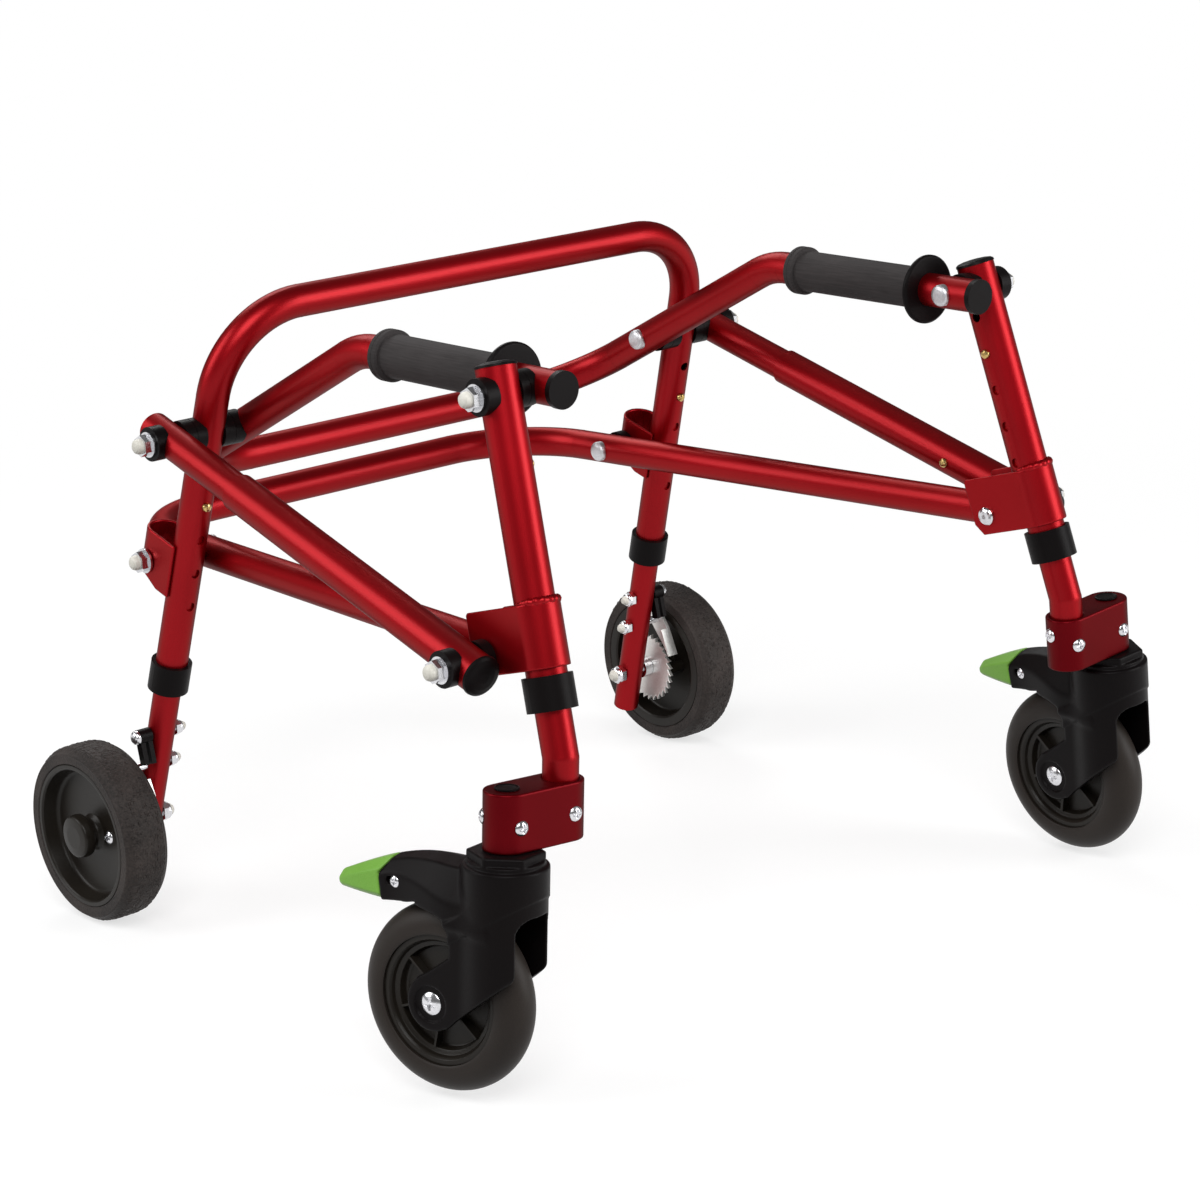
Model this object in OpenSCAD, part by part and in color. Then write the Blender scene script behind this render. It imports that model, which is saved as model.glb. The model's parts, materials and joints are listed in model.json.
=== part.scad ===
// Folding posterior walker: a rear hoop, a handle rail, a lower rail and two front posts form
// a four-bar frame that telescoping diagonal braces lock. Rear wheels have a toothed one-way
// disc, front legs carry casters with sliding swivel locks. Sizes in mm, angles in degrees.
// X runs across the walker (the user's left is +X), -Y is the direction of travel, Z is up.

/* [Frame layout] */
// Height of the rear upper pivot, hoop to handle rail
pivot_a_z = 348; // [320:1:380]
// Rearward place of the rear upper pivot
pivot_a_y = 108; // [95:1:120]
// Height between the rear upper and lower pivots
hoop_span = 94; // [86:1:102]
// Distance of the rear lower pivot behind the upper one
hoop_setback = 56; // [50:1:62]
// Height of the grips and the front upper pivot above the rear upper pivot
grip_rise = 67.5; // [52:0.5:82]
// Distance of the front upper pivot in front of the rear one
grip_reach = 304; // [296:1:313]
// Height between the front upper and lower pivots
post_span = 156; // [150:0.5:164]
// Distance of the front lower pivot in front of the upper one
post_setout = 7; // [2:0.5:12]
// Half spacing of the hoop legs at the upper pivot
hoop_x = 213.5; // [205:0.5:225]
// Distance of the handles inside the hoop legs
handle_in = 31; // [29.5:0.5:37]
// Distance of the lower rail inside the hoop legs' upper pivot
lower_in = 24; // [22.5:0.5:27]
// Distance of the front posts inside the hoop legs, at the upper pivots
post_in = 2.5; // [0:0.5:4]
// Distance of the braces outside the hoop legs, at the rear upper pivot
brace_out = 30; // [28.5:0.5:36]
// Rearward lean of the hoop
rear_lean = 16.7; // [12:0.1:20]
// Outward splay of the hoop legs in the hoop's plane
rear_splay = 2.85; // [1.5:0.05:4]
// Forward lean of the front posts
front_lean = 15.9; // [12:0.1:19]
// Outward splay of the front posts in their own plane
front_splay = 4.2; // [2.5:0.1:5.5]

/* [Tubes] */
// Outside diameter of the handle rail and the lower rail
rail_d = 22.2; // [20:0.1:23.4]
// Wall of the two rails
rail_wall = 1.5; // [1:0.1:3]
// Outside diameter of the rear leg tubes
rear_leg_d = 19; // [17:0.1:20]
// Wall of the hoop
hoop_wall = 1.55; // [1.2:0.05:2.5]
// Outside diameter of the front leg tubes
front_leg_d = 22.2; // [20:0.1:23]
// Wall of the front posts
post_wall = 1.55; // [1.2:0.05:2.2]
// Outside diameter of the brace rods
rod_d = 22.2; // [20:0.1:23]
// Wall of the brace tubes
brace_wall = 1.55; // [1.2:0.05:2.2]
// Wall of the sliding tubes
leg_wall = 1.5; // [1:0.1:2.5]
// Radial clearance of a tube that slides in another
slide_fit = 0.05; // [0.02:0.01:0.1]

/* [Hoop and rails] */
// Height of the hoop's top bar above the upper pivot, along the hoop
hoop_rise = 85; // [78:0.5:95]
// Bend radius of the hoop's corners
hoop_corner_r = 62; // [50:1:70]
// Length of the hoop legs below the lower pivot
hoop_tail = 85.7; // [82:0.1:92]
// Distance of the handle rail's bend behind the grips
handle_bend_room = 26.5; // [22:0.5:34]
// Distance of the upper cross bar behind the upper pivot, along the slope
handle_rear = 100.5; // [92:0.5:110]
// Bend radius of the upper cross bar's corners
handle_corner_r = 63; // [50:1:75]
// Bend radius where the slope meets the grips
handle_bend_r = 60; // [40:1:75]
// Length of the handles in front of the front pivot
handle_nose = 21; // [17:0.5:30]
// Distance of the lower cross bar behind the lower pivot
lower_rear = 97; // [90:0.5:110]
// Bend radius of the lower cross bar's corners
lower_corner_r = 75; // [60:1:85]
// Length of the lower rail in front of the front lower pivot
lower_nose = 9; // [7:0.5:10]

/* [Height adjustment] */
// Distance between two height holes
hole_pitch = 25.4; // [23:0.1:26]
// Number of height holes in each leg
hole_count = 5; // [3:1:5]
// Distance of the first rear hole below the upper pivot
rear_hole_first = 25; // [23:0.5:27]
// Distance of the first front hole below the upper pivot
front_hole_first = 18.6; // [17.5:0.1:20]
// Diameter of the snap buttons
button_d = 6.4; // [5:0.1:7.5]
// Height of the snap buttons above the tube
button_proud = 3; // [2:0.1:4]

/* [Grips] */
// Outside diameter of the grips
grip_d = 28; // [26:0.1:32]
// Length of the grips
grip_len = 124; // [110:1:130]
// Diameter of the large front flange
grip_flange_d = 46.5; // [40:0.5:52]
// Diameter of the small rear flange
grip_bead_d = 33.5; // [31:0.1:38]
// Distance of the grip's front face behind the front pivot
grip_set = 21; // [16:0.5:28]

/* [Rear wheels] */
// Diameter of the rear wheels
rear_wheel_d = 125; // [118:0.5:128]
// Width of the rear tyres
rear_tyre_w = 34; // [30:0.5:36]
// Diameter of the rear rims
rear_rim_d = 93; // [88:0.5:98]
// Distance of the wheel's middle plane outside the leg
wheel_out = 40.5; // [40:0.5:46]
// Diameter of the axle
axle_d = 8; // [6:0.1:9]
// Outside diameter of the ratchet disc
ratchet_d = 55; // [50:0.5:60]
// Number of ratchet teeth
ratchet_teeth = 30; // [20:1:36]

/* [Casters] */
// Diameter of the caster wheels
caster_d = 118; // [114:0.5:120]
// Width of the caster tyres
caster_tyre_w = 29.5; // [26:0.5:31]
// Distance of the axle behind the swivel axis
caster_trail = 39; // [36:0.5:42]
// Distance of the swivel axis outside the leg
stem_off = 41.5; // [40:0.5:46]
// Height of the offset blocks
block_h = 36.5; // [32:0.5:38]
// Resting swivel angle of the right caster, outward
caster_yaw_right = 15; // [0:1:20]
// Resting swivel angle of the left caster, outward
caster_yaw_left = 1; // [0:1:20]
// Length of the fork arm behind the swivel axis
arm_len = 84; // [80:0.5:92]
// Length of the green swivel lock that shows
lock_len = 36; // [30:0.5:40]

/* [Hidden] */
$fn = 64;
// Clearance of pins in bores, of seated pieces, and of pieces that move past each other
pin_fit = 0.05;
seat_gap = 0.05;
move_gap = 0.3;
// Overrun of cuts
cut = 1;
// Weld rings where a straight tube meets a bend
weld_len = 1;
weld_step = 0.06;
// Fasteners
bolt_d = 8;
head_d = 14.5;
head_h = 3;
head_rim = 1.2;
head_lift = 0.6;
head_wing = 3.4;
washer_d = 17;
washer_t = 1.5;
nut_af = 12.7;
nut_h = 5.5;
cap_d = 10.4;
cap_h = 5;
dome_shares = [[1, 0], [0.97, 0.4], [0.85, 0.7], [0.6, 0.9], [0.25, 1]];
// Saddle spacers
saddle_d = 23;
saddle_t = 5;
saddle_cup = 4;
brace_stand = 3;
// Folded brackets
strap_t = 2.5;
strap_h = 38;
strap_lift = 3;
bracket_t = 2.5;
bracket_h = 39.5;
bracket_back = 13.5;
bracket_lift = 6.8;
// Front bracket's inner screw
pan_d = 13;
pan_h = 3.5;
pan_shank = 2;
// Collars, plugs and caps
collar_wall = 3;
collar_len = 21;
collar_lip = 3;
plug_t = 3.5;
plug_in = 12;
cap_t = 4;
cap_over = 0.6;
post_top = 15.5;
// Grip details
grip_flange_t = 5;
grip_flange_edge = 1.6;
grip_bead_w = 11;
grip_bead_share = 0.75;
grip_neck_w = 3;
grip_neck_deep = 0.8;
// Legs
leg_tip = 10;
rear_leg_end = 31;
socket_len = 20;
socket_d = 16.6;
axle_drop = 98.5;
knee_drop = 12;
collar_front_gap = 17.1;
// Snap buttons
button_in = 3.4;
button_fit = 0.1;
button_flange_d = 9;
button_flange_t = 1.2;
brace_button_up = 72;
rod_tail = 19;
rod_end_t = 2;
rod_past_button = 15;
tube_start = 82;
tube_nose = 16;
// Rear wheel
rear_bolt_1_up = 65.7;
rear_bolt_2_up = 41.6;
tyre_crown = 2.2;
tyre_shoulder = 9;
rim_ring_t = 5.5;
rim_ring_w = 31;
web_t = 6;
web_in = 8;
hub_r = 9.5;
hub_foot_r = 13;
hub_out = 12;
knob_r = 13.5;
knob_h = 9;
knob_edge = 2.2;
hub_in = 12;
hub_in_r = 12;
bore_end = 6;
ratchet_t = 3;
ratchet_gap = 3;
ratchet_deep = 3;
ratchet_screw_r = 18.5;
screw_head_d = 8;
screw_head_h = 2.6;
screw_d = 4;
sleeve_d = 15;
// Pawl and lever
rear_bolt_d = 6;
rear_nut_af = 10;
rear_nut_h = 7;
lever_d = 10.5;
lever_len = 9.4;
tine_len = 20;
tine_w = 3.4;
tine_t = 6;
lever_head_d = 10;
lever_head_h = 4;
tine_angle = 12;
pawl_d = 14;
pawl_t = 3;
pawl_len = 30;
pawl_w = 9;
pawl_flange = 6;
pawl_angle = 22.8;
pawl_heel_share = 0.47;
pawl_toe_share = 1.05;
pawl_tip_share = 0.94;
pawl_back_share = 0.62;
pawl_flange_share = 0.72;
pawl_edge_shares = [0.11, 0.05, 0.2];
// Offset block and caster
block_wall = 3.2;
block_screw_r = 4.6;
block_screw_h = 2;
screw_high_share = 0.42;
screw_low_share = 0.62;
stem_d = 12;
stem_cap_d = 17;
stem_cap_h = 3.5;
hex_d = 47;
hex_h = 6;
fork_head_d = 50;
step_d = 46;
step_h = 5;
arm_w = 25;
arm_top_root = 8;
arm_top_mid = 12;
arm_top_tip = 18;
arm_low_root = 36.5;
arm_low_tip = 43;
arm_flat_share = 0.45;
arm_mid_share = 0.75;
arm_knee_share = 0.72;
plate_t = 5;
plate_gap = 2.6;
plate_top = 16;
plate_low = 66;
plate_knee = 72;
plate_front = 25;
plate_back = 27;
arch_low = 37;
arch_chamfer = 5;
boss_r = 15;
boss_lean = 38;
boss_recess_r = 9.2;
boss_recess = 2;
axle_head_r = 5.6;
axle_head_h = 2.4;
tyre_hole_share = 0.7;
rib_share = 0.58;
rib_root_share = 0.7;
caster_rim_r = 36;
caster_ring_t = 5;
caster_hub_r = 12;
caster_web_t = 5;
caster_rib_t = 2.5;
caster_rib_count = 6;
beak_drop = 4.5;
beak_top = 36;
beak_low = 43.5;
beak_brow_share = 0.4;
beak_chin_share = 0.5;
beak_cheek_share = 0.35;
beak_w = 10;
lock_mid = 30.5;
lock_tongue_w = 14;
lock_tongue_h = 11;
lock_tongue_len = 18;
lock_travel = 5;
lock_pin_d = 4;
lock_pin_in = 12.5;
lock_screw_r = 3.8;
lock_screw_h = 2;
lock_edge = 4;

// Place of the walker's middle plane and pivots, so that the origin lies under the middle of its box
centre_x = 6.3;
centre_y = 4.3;

// Derived sizes
pivot_b_z = pivot_a_z - hoop_span;
pivot_b_y = pivot_a_y + hoop_setback;
pivot_c_z = pivot_a_z + grip_rise;
pivot_c_y = pivot_a_y - grip_reach;
pivot_d_z = pivot_c_z - post_span;
pivot_d_y = pivot_c_y - post_setout;
handle_x = hoop_x - handle_in;
lower_x = hoop_x - lower_in;
post_x = hoop_x - post_in;
brace_x = hoop_x + brace_out;
hoop_bore = rear_leg_d + 2*slide_fit;
hoop_d = hoop_bore + 2*hoop_wall;
post_bore = front_leg_d + 2*slide_fit;
post_d = post_bore + 2*post_wall;
brace_bore = rod_d + 2*slide_fit;
brace_d = brace_bore + 2*brace_wall;
bolt_hole = bolt_d + 2*pin_fit;
// Hoop corners in the hoop's plane
hoop_cz = hoop_rise - hoop_corner_r;
hoop_cx = hoop_x - (hoop_corner_r + hoop_cz*sin(rear_splay))/cos(rear_splay);
hoop_straight = (hoop_x - hoop_cx - hoop_corner_r*cos(rear_splay))*sin(rear_splay)
    + (hoop_cz + hoop_corner_r*sin(rear_splay))*cos(rear_splay);
// Places along the hoop legs and the posts, measured down their axes from the upper pivots
function leg_x(t) = hoop_x + t*sin(rear_splay);
function leg_y(t) = pivot_a_y + t*cos(rear_splay)*sin(rear_lean);
function leg_z(t) = pivot_a_z - t*cos(rear_splay)*cos(rear_lean);
function post_px(t) = post_x + t*sin(front_splay);
function post_py(t) = pivot_c_y - t*cos(front_splay)*sin(front_lean);
function post_pz(t) = pivot_c_z - t*cos(front_splay)*cos(front_lean);
// Lower pivots seen from the legs
b_down = (-(pivot_b_z - pivot_a_z)*cos(rear_lean) + (pivot_b_y - pivot_a_y)*sin(rear_lean))/cos(rear_splay);
b_back = (pivot_b_y - pivot_a_y)*cos(rear_lean) + (pivot_b_z - pivot_a_z)*sin(rear_lean);
strap_back = b_back;
hoop_drop = b_down + hoop_tail;
d_down = (post_span*cos(front_lean) + post_setout*sin(front_lean))/cos(front_splay);
d_back = (pivot_d_y - pivot_c_y)*cos(front_lean) - (pivot_d_z - pivot_c_z)*sin(front_lean);
collar_front_at = d_down + collar_front_gap;
strap_half = hoop_d/2 + seat_gap + strap_t;
bracket_half = post_d/2 + seat_gap + bracket_t;
strap_tilt_room = washer_d/2*tan(rear_splay) + move_gap;
saddle_tilt_room = saddle_d/2*tan(front_splay) + move_gap;
bracket_x = post_px(d_down);
strap_x = leg_x(b_down);
// Handle rail
handle_slope = atan2(grip_rise, grip_reach - grip_set - grip_len - handle_bend_room);
handle_run = grip_rise/sin(handle_slope);
handle_tan = handle_bend_r*tan(handle_slope/2);
handle_bend_y = pivot_a_y - handle_run*cos(handle_slope) - handle_tan;
// Lower rail, which flares outward to the front brackets
lower_span = norm([pivot_b_y - pivot_d_y, pivot_d_z - pivot_b_z]);
lower_slope = atan2(pivot_d_z - pivot_b_z, pivot_b_y - pivot_d_y);
lower_flare = atan2(bracket_x - lower_x, lower_span);
lower_cy = lower_rear - lower_corner_r;
lower_cx = lower_x - (lower_corner_r + lower_cy*sin(lower_flare))/cos(lower_flare);
lower_back = lower_cy*cos(lower_flare) - (lower_cx - lower_x)*sin(lower_flare);
// Braces
brace_dx = bracket_x + bracket_half + saddle_tilt_room + brace_stand + brace_d/2;
brace_run = norm([pivot_d_y - pivot_a_y, pivot_d_z - pivot_a_z]);
brace_pitch = atan2(pivot_a_y - pivot_d_y, pivot_d_z - pivot_a_z);
brace_flare = atan2(brace_dx - brace_x, brace_run);
brace_len = norm([brace_run, brace_dx - brace_x]);
brace_button_at = brace_len - brace_button_up;
// Rear legs
axle_at = (pivot_a_z - rear_wheel_d/2)/(cos(rear_splay)*cos(rear_lean));
rear_bolt_1_at = axle_at - rear_bolt_1_up/cos(rear_lean);
rear_bolt_2_at = axle_at - rear_bolt_2_up/cos(rear_lean);
rear_button_at = rear_hole_first + hole_pitch;
front_button_at = front_hole_first + hole_pitch;
rim_bore_r = axle_d/2 + pin_fit;
wheel_in = rear_tyre_w/2;
wheel_x = leg_x(axle_at) + wheel_out;
disc_face = wheel_out - wheel_in - ratchet_gap - ratchet_t;
// Casters
stem_tilt = atan(tan(front_splay)/cos(front_lean));
block_r = front_leg_d/2 + block_wall;
block_bottom = knee_drop + block_h;
caster_r = caster_d/2;
caster_tyre_r = caster_tyre_w/2;
knee_z = caster_tyre_r + (caster_r - caster_tyre_r + block_bottom + axle_drop)*cos(stem_tilt);
front_knee = (pivot_c_z - knee_z)/(cos(front_splay)*cos(front_lean));
plate_in = caster_tyre_r + plate_gap;
plate_out = plate_in + plate_t;

red = [0.72, 0.06, 0.1];
dark_red = [0.4, 0.02, 0.05];
black = [0.09, 0.09, 0.09];
rubber = [0.2, 0.19, 0.18];
steel = [0.78, 0.78, 0.8];
gold = [0.78, 0.66, 0.36];
white = [0.92, 0.92, 0.88];
green = [0.45, 0.64, 0.3];

// Both sides, or one side: everything below is drawn for the left (+X)
module both() {
    children();
    mirror([1, 0, 0]) children();
}
module right() {
    mirror([1, 0, 0]) children();
}

// Frames: hoop leg, front post, brace, offset block, caster
module leg_axis() {
    translate([hoop_x, pivot_a_y, pivot_a_z]) rotate([rear_lean, 0, 0])
        rotate([0, -rear_splay, 0]) children();
}
module post_axis() {
    translate([post_x, pivot_c_y, pivot_c_z]) rotate([-front_lean, 0, 0])
        rotate([0, -front_splay, 0]) children();
}
module brace_axis() {
    translate([brace_x, pivot_a_y, pivot_a_z]) rotate([brace_pitch, 0, 0])
        rotate([0, brace_flare, 0]) children();
}
module block_frame() {
    translate([post_px(front_knee), post_py(front_knee), post_pz(front_knee)])
        rotate([0, -stem_tilt, 0]) children();
}
module caster_frame(yaw) {
    block_frame() translate([stem_off, 0, -block_bottom]) rotate([0, 0, -yaw]) children();
}
module wheel_frame() {
    translate([wheel_x, leg_y(axle_at), leg_z(axle_at)]) rotate([0, 90, 0]) children();
}

// Cylinders along X at a place in Y and Z, from x0 to x1
module x_pin(y, z, x0, x1, d) {
    translate([x0, y, z]) rotate([0, 90, 0]) cylinder(d = d, h = x1 - x0);
}
module ring(d, bore, h) {
    difference() {
        cylinder(d = d, h = h);
        translate([0, 0, -cut]) cylinder(d = bore, h = h + 2*cut);
    }
}
module bend(r, d, angle) {
    rotate_extrude(angle = angle) translate([r, 0]) circle(d = d);
}
module weld(d) {
    translate([0, 0, -weld_len/2]) cylinder(d = d + 2*weld_step, h = weld_len);
}
module stadium(length, r, h) {
    linear_extrude(h) {
        circle(r = r);
        translate([length, 0]) circle(r = r);
        translate([0, -r]) square([length, 2*r]);
    }
}
// Dome on a disc of diameter d, height h, standing on Z = 0
module dome(d, h) {
    rotate_extrude() polygon(concat([[0, 0]], [for (p = dome_shares) [p[0]*d/2, p[1]*h]], [[0, h]]));
}
// Nut with its washer on Z = 0, and the cap over its end
module nut(af = nut_af, h = nut_h, bore = bolt_hole, wd = washer_d, wt = washer_t) {
    difference() {
        union() {
            cylinder(d = wd, h = wt);
            translate([0, 0, wt]) cylinder(d = af/cos(30), h = h, $fn = 6);
        }
        translate([0, 0, -cut]) cylinder(d = bore, h = wt + h + 2*cut);
    }
}
module nut_cap() {
    translate([0, 0, seat_gap]) dome(cap_d, cap_h);
}
// Bolt along X: a domed head seated on a tube of diameter d whose axis is at x0, shank to x1
module seated_bolt(y, z, x0, d, x1) {
    face = x0 - d/2 - head_lift;
    x_pin(y, z, face - head_h/2, x1, bolt_d);
    difference() {
        union() {
            x_pin(y, z, face, face + head_wing, head_d);
            translate([face, y, z]) rotate([0, -90, 0]) dome(head_d, head_h);
        }
        children();
    }
}
// Saddle spacer round a bolt along X between x0 and x1; children are cut away
module saddle(y, z, x0, x1) {
    difference() {
        x_pin(y, z, x0, x1, saddle_d);
        x_pin(y, z, x0 - cut, x1 + cut, bolt_hole);
        children();
    }
}

// Bent tubes as solids of diameter d; the ends run over by extra
module hoop_solid(d, extra) {
    both() leg_axis() {
        translate([0, 0, -hoop_drop - extra]) cylinder(d = d, h = hoop_drop + hoop_straight + extra);
        translate([0, 0, hoop_straight]) weld(d);
    }
    translate([0, pivot_a_y, pivot_a_z]) rotate([rear_lean, 0, 0]) {
        both() {
            translate([hoop_cx, 0, hoop_cz]) rotate([90, 0, 0]) rotate([0, 0, rear_splay])
                bend(hoop_corner_r, d, 90 - rear_splay);
            translate([hoop_cx, 0, hoop_rise]) rotate([0, 90, 0]) weld(d);
        }
        x_pin(0, hoop_rise, -hoop_cx, hoop_cx, d);
    }
}
module handle_solid(d, extra) {
    both() {
        translate([handle_x, handle_bend_y, pivot_c_z]) rotate([90, 0, 0])
            cylinder(d = d, h = handle_bend_y - pivot_c_y + handle_nose + extra);
        translate([handle_x, handle_bend_y, pivot_c_z]) rotate([90, 0, 0]) weld(d);
        translate([handle_x, handle_bend_y, pivot_c_z - handle_bend_r]) rotate([0, -90, 0])
            bend(handle_bend_r, d, handle_slope);
    }
    translate([0, pivot_a_y, pivot_a_z]) rotate([-handle_slope, 0, 0]) {
        both() {
            translate([handle_x, handle_rear - handle_corner_r, 0]) rotate([90, 0, 0])
                cylinder(d = d, h = handle_rear - handle_corner_r + handle_run - handle_tan);
            for (y = [handle_rear - handle_corner_r, handle_tan - handle_run])
                translate([handle_x, y, 0]) rotate([90, 0, 0]) weld(d);
            translate([handle_x - handle_corner_r, handle_rear - handle_corner_r, 0])
                bend(handle_corner_r, d, 90);
            translate([handle_x - handle_corner_r, handle_rear, 0]) rotate([0, 90, 0]) weld(d);
        }
        translate([0, handle_rear, 0]) x_pin(0, 0, handle_corner_r - handle_x, handle_x - handle_corner_r, d);
    }
}
module lower_solid(d, extra) {
    translate([0, pivot_b_y, pivot_b_z]) rotate([-lower_slope, 0, 0]) {
        both() {
            translate([lower_x, 0, 0]) rotate([0, 0, lower_flare])
                translate([0, lower_back, 0]) rotate([90, 0, 0]) {
                cylinder(d = d, h = lower_back + lower_span/cos(lower_flare) + lower_nose + extra);
                weld(d);
            }
            translate([lower_cx, lower_rear, 0]) rotate([0, 90, 0]) weld(d);
            translate([lower_cx, lower_cy, 0]) rotate([0, 0, lower_flare])
                bend(lower_corner_r, d, 90 - lower_flare);
        }
        x_pin(lower_rear, 0, -lower_cx, lower_cx, d);
    }
}

// Rear hoop with its pivot bores and height holes
module rear_hoop() {
    color(red) difference() {
        hoop_solid(hoop_d, 0);
        hoop_solid(hoop_bore, cut);
        x_pin(pivot_a_y, pivot_a_z, -hoop_x - hoop_d, hoop_x + hoop_d, bolt_hole);
        both() leg_axis() for (i = [0:hole_count - 1])
            translate([0, 0, -rear_hole_first - i*hole_pitch]) rotate([90, 0, 0])
                cylinder(d = button_d + 2*button_fit, h = hoop_d);
    }
}
// Straps round the hoop legs
module strap() {
    leg_axis() translate([0, 0, -b_down - strap_h/2 + strap_lift]) difference() {
        rotate([0, 0, 90]) stadium(strap_back, strap_half, strap_h);
        translate([0, 0, -cut]) {
            rotate([0, 0, 90]) stadium(strap_back, strap_half - strap_t, strap_h + 2*cut);
            translate([-strap_half - cut, -strap_half - cut, 0])
                cube([2*(strap_half + cut), strap_half + cut, strap_h + 2*cut]);
        }
    }
}
module rear_brackets() {
    color(red) difference() {
        both() strap();
        x_pin(pivot_b_y, pivot_b_z, -hoop_x - 2*strap_half, hoop_x + 2*strap_half, bolt_hole);
    }
}
// Collars under the hoop legs and the saddles on them
module collar(d, leg_d) {
    difference() {
        cylinder(d = d + 2*collar_wall, h = collar_len);
        translate([0, 0, collar_lip]) cylinder(d = d + 2*seat_gap, h = collar_len);
        translate([0, 0, -cut]) cylinder(d = leg_d + 2*move_gap, h = collar_len);
    }
}
saddle_in_mid = (hoop_x - hoop_d/2 + handle_x + rail_d/2)/2;
saddle_out_mid = (hoop_x + hoop_d/2 + brace_x - rod_d/2)/2;
module rear_trim() {
    color(black) both() {
        leg_axis() translate([0, 0, -hoop_drop - collar_lip - seat_gap]) collar(hoop_d, rear_leg_d);
        saddle(pivot_a_y, pivot_a_z, saddle_in_mid + move_gap/2, hoop_x - hoop_d/2 + saddle_cup)
            leg_axis() translate([0, 0, -saddle_d]) cylinder(d = hoop_d + 2*seat_gap, h = 2*saddle_d);
        saddle(pivot_a_y, pivot_a_z, hoop_x + hoop_d/2 - saddle_cup, saddle_out_mid - move_gap/2)
            leg_axis() translate([0, 0, -saddle_d]) cylinder(d = hoop_d + 2*seat_gap, h = 2*saddle_d);
    }
}

// Handle rail, its grips, caps, saddles and bolts
module handle_rail() {
    color(red) difference() {
        handle_solid(rail_d, 0);
        handle_solid(rail_d - 2*rail_wall, cut);
        both() {
            x_pin(pivot_a_y, pivot_a_z, handle_x - rail_d, handle_x + rail_d, bolt_hole);
            x_pin(pivot_c_y, pivot_c_z, handle_x - rail_d, handle_x + rail_d, bolt_hole);
        }
    }
}
module grip_profile() {
    bore_r = rail_d/2 + seat_gap;
    neck_r = grip_d/2 - grip_neck_deep;
    polygon([
        [bore_r, 0], [grip_flange_d/2 - grip_flange_edge, 0], [grip_flange_d/2, grip_flange_edge],
        [grip_flange_d/2, grip_flange_t - grip_flange_edge],
        [grip_flange_d/2 - grip_flange_edge, grip_flange_t],
        [neck_r, grip_flange_t], [neck_r, grip_flange_t + grip_neck_w],
        [grip_d/2, grip_flange_t + grip_neck_w],
        [grip_d/2, grip_len - grip_bead_w], [(grip_d + grip_bead_d)/4, grip_len - grip_bead_w],
        [grip_bead_d/2, grip_len - grip_bead_w*grip_bead_share], [grip_bead_d/2, grip_len - grip_bead_w/4],
        [(grip_d + grip_bead_d)/4, grip_len], [bore_r, grip_len]
    ]);
}
module grips() {
    color(rubber) both() translate([handle_x, pivot_c_y + grip_set, pivot_c_z]) rotate([-90, 0, 0])
        rotate_extrude() grip_profile();
}
module handle_cut(gap) {
    translate([handle_x, pivot_c_y + saddle_d, pivot_c_z]) rotate([90, 0, 0])
        cylinder(d = rail_d + 2*gap, h = 2*saddle_d);
}
module slope_cut(gap) {
    translate([handle_x, pivot_a_y, pivot_a_z]) rotate([90 - handle_slope, 0, 0]) translate([0, 0, -saddle_d])
        cylinder(d = rail_d + 2*gap, h = 2*saddle_d);
}
post_gap_mid = (post_x - post_d/2 + handle_x + rail_d/2)/2;
module handle_trim() {
    color(black) both() {
        translate([handle_x, pivot_c_y - handle_nose - seat_gap, pivot_c_z]) rotate([90, 0, 0]) {
            cylinder(d = rail_d + 2*cap_over, h = cap_t);
            translate([0, 0, -plug_in]) cylinder(d = rail_d - 2*rail_wall - 2*seat_gap, h = plug_in);
        }
        saddle(pivot_a_y, pivot_a_z, handle_x + rail_d/2 - saddle_cup, saddle_in_mid - move_gap/2)
            slope_cut(seat_gap);
        saddle(pivot_c_y, pivot_c_z, handle_x + rail_d/2 - saddle_cup, post_gap_mid - move_gap/2)
            handle_cut(seat_gap);
    }
}
nut_a_x = brace_x + rod_d/2 + saddle_t + move_gap;
nut_c_x = post_x + post_d/2 + saddle_t + move_gap;
nut_b_x = strap_x + strap_half + strap_tilt_room;
nut_d_x = brace_dx + brace_d/2 + saddle_t + seat_gap;
shank_out = washer_t + nut_h;
module nut_at(y, z, x) {
    translate([x, y, z]) rotate([0, 90, 0]) nut();
}
module cap_at(y, z, x) {
    translate([x + shank_out, y, z]) rotate([0, 90, 0]) nut_cap();
}
module handle_bolts() {
    color(steel) both() {
        seated_bolt(pivot_a_y, pivot_a_z, handle_x, rail_d, nut_a_x + shank_out) slope_cut(seat_gap);
        nut_at(pivot_a_y, pivot_a_z, nut_a_x);
        seated_bolt(pivot_c_y, pivot_c_z, handle_x, rail_d, nut_c_x + shank_out) handle_cut(seat_gap);
        nut_at(pivot_c_y, pivot_c_z, nut_c_x);
    }
}
module handle_nut_caps() {
    color(white) both() {
        cap_at(pivot_a_y, pivot_a_z, nut_a_x);
        cap_at(pivot_c_y, pivot_c_z, nut_c_x);
    }
}

// Lower rail with its rear pivots
module lower_rail() {
    color(red) difference() {
        lower_solid(rail_d, 0);
        lower_solid(rail_d - 2*rail_wall, cut);
        both() x_pin(pivot_b_y, pivot_b_z, lower_x - rail_d, lower_x + rail_d, bolt_hole);
        both() x_pin(pivot_d_y, pivot_d_z, bracket_x - rail_d, bracket_x + rail_d, bolt_hole);
    }
}
module lower_cut(gap) {
    translate([lower_x, pivot_b_y, pivot_b_z]) rotate([-lower_slope, 0, 0]) rotate([0, 0, lower_flare])
        translate([0, saddle_d, 0]) rotate([90, 0, 0]) cylinder(d = rail_d + 2*gap, h = 2*saddle_d);
}
module lower_bolts() {
    color(steel) both() {
        seated_bolt(pivot_b_y, pivot_b_z, lower_x, rail_d, nut_b_x + shank_out) lower_cut(seat_gap);
        nut_at(pivot_b_y, pivot_b_z, nut_b_x);
    }
}
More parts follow.
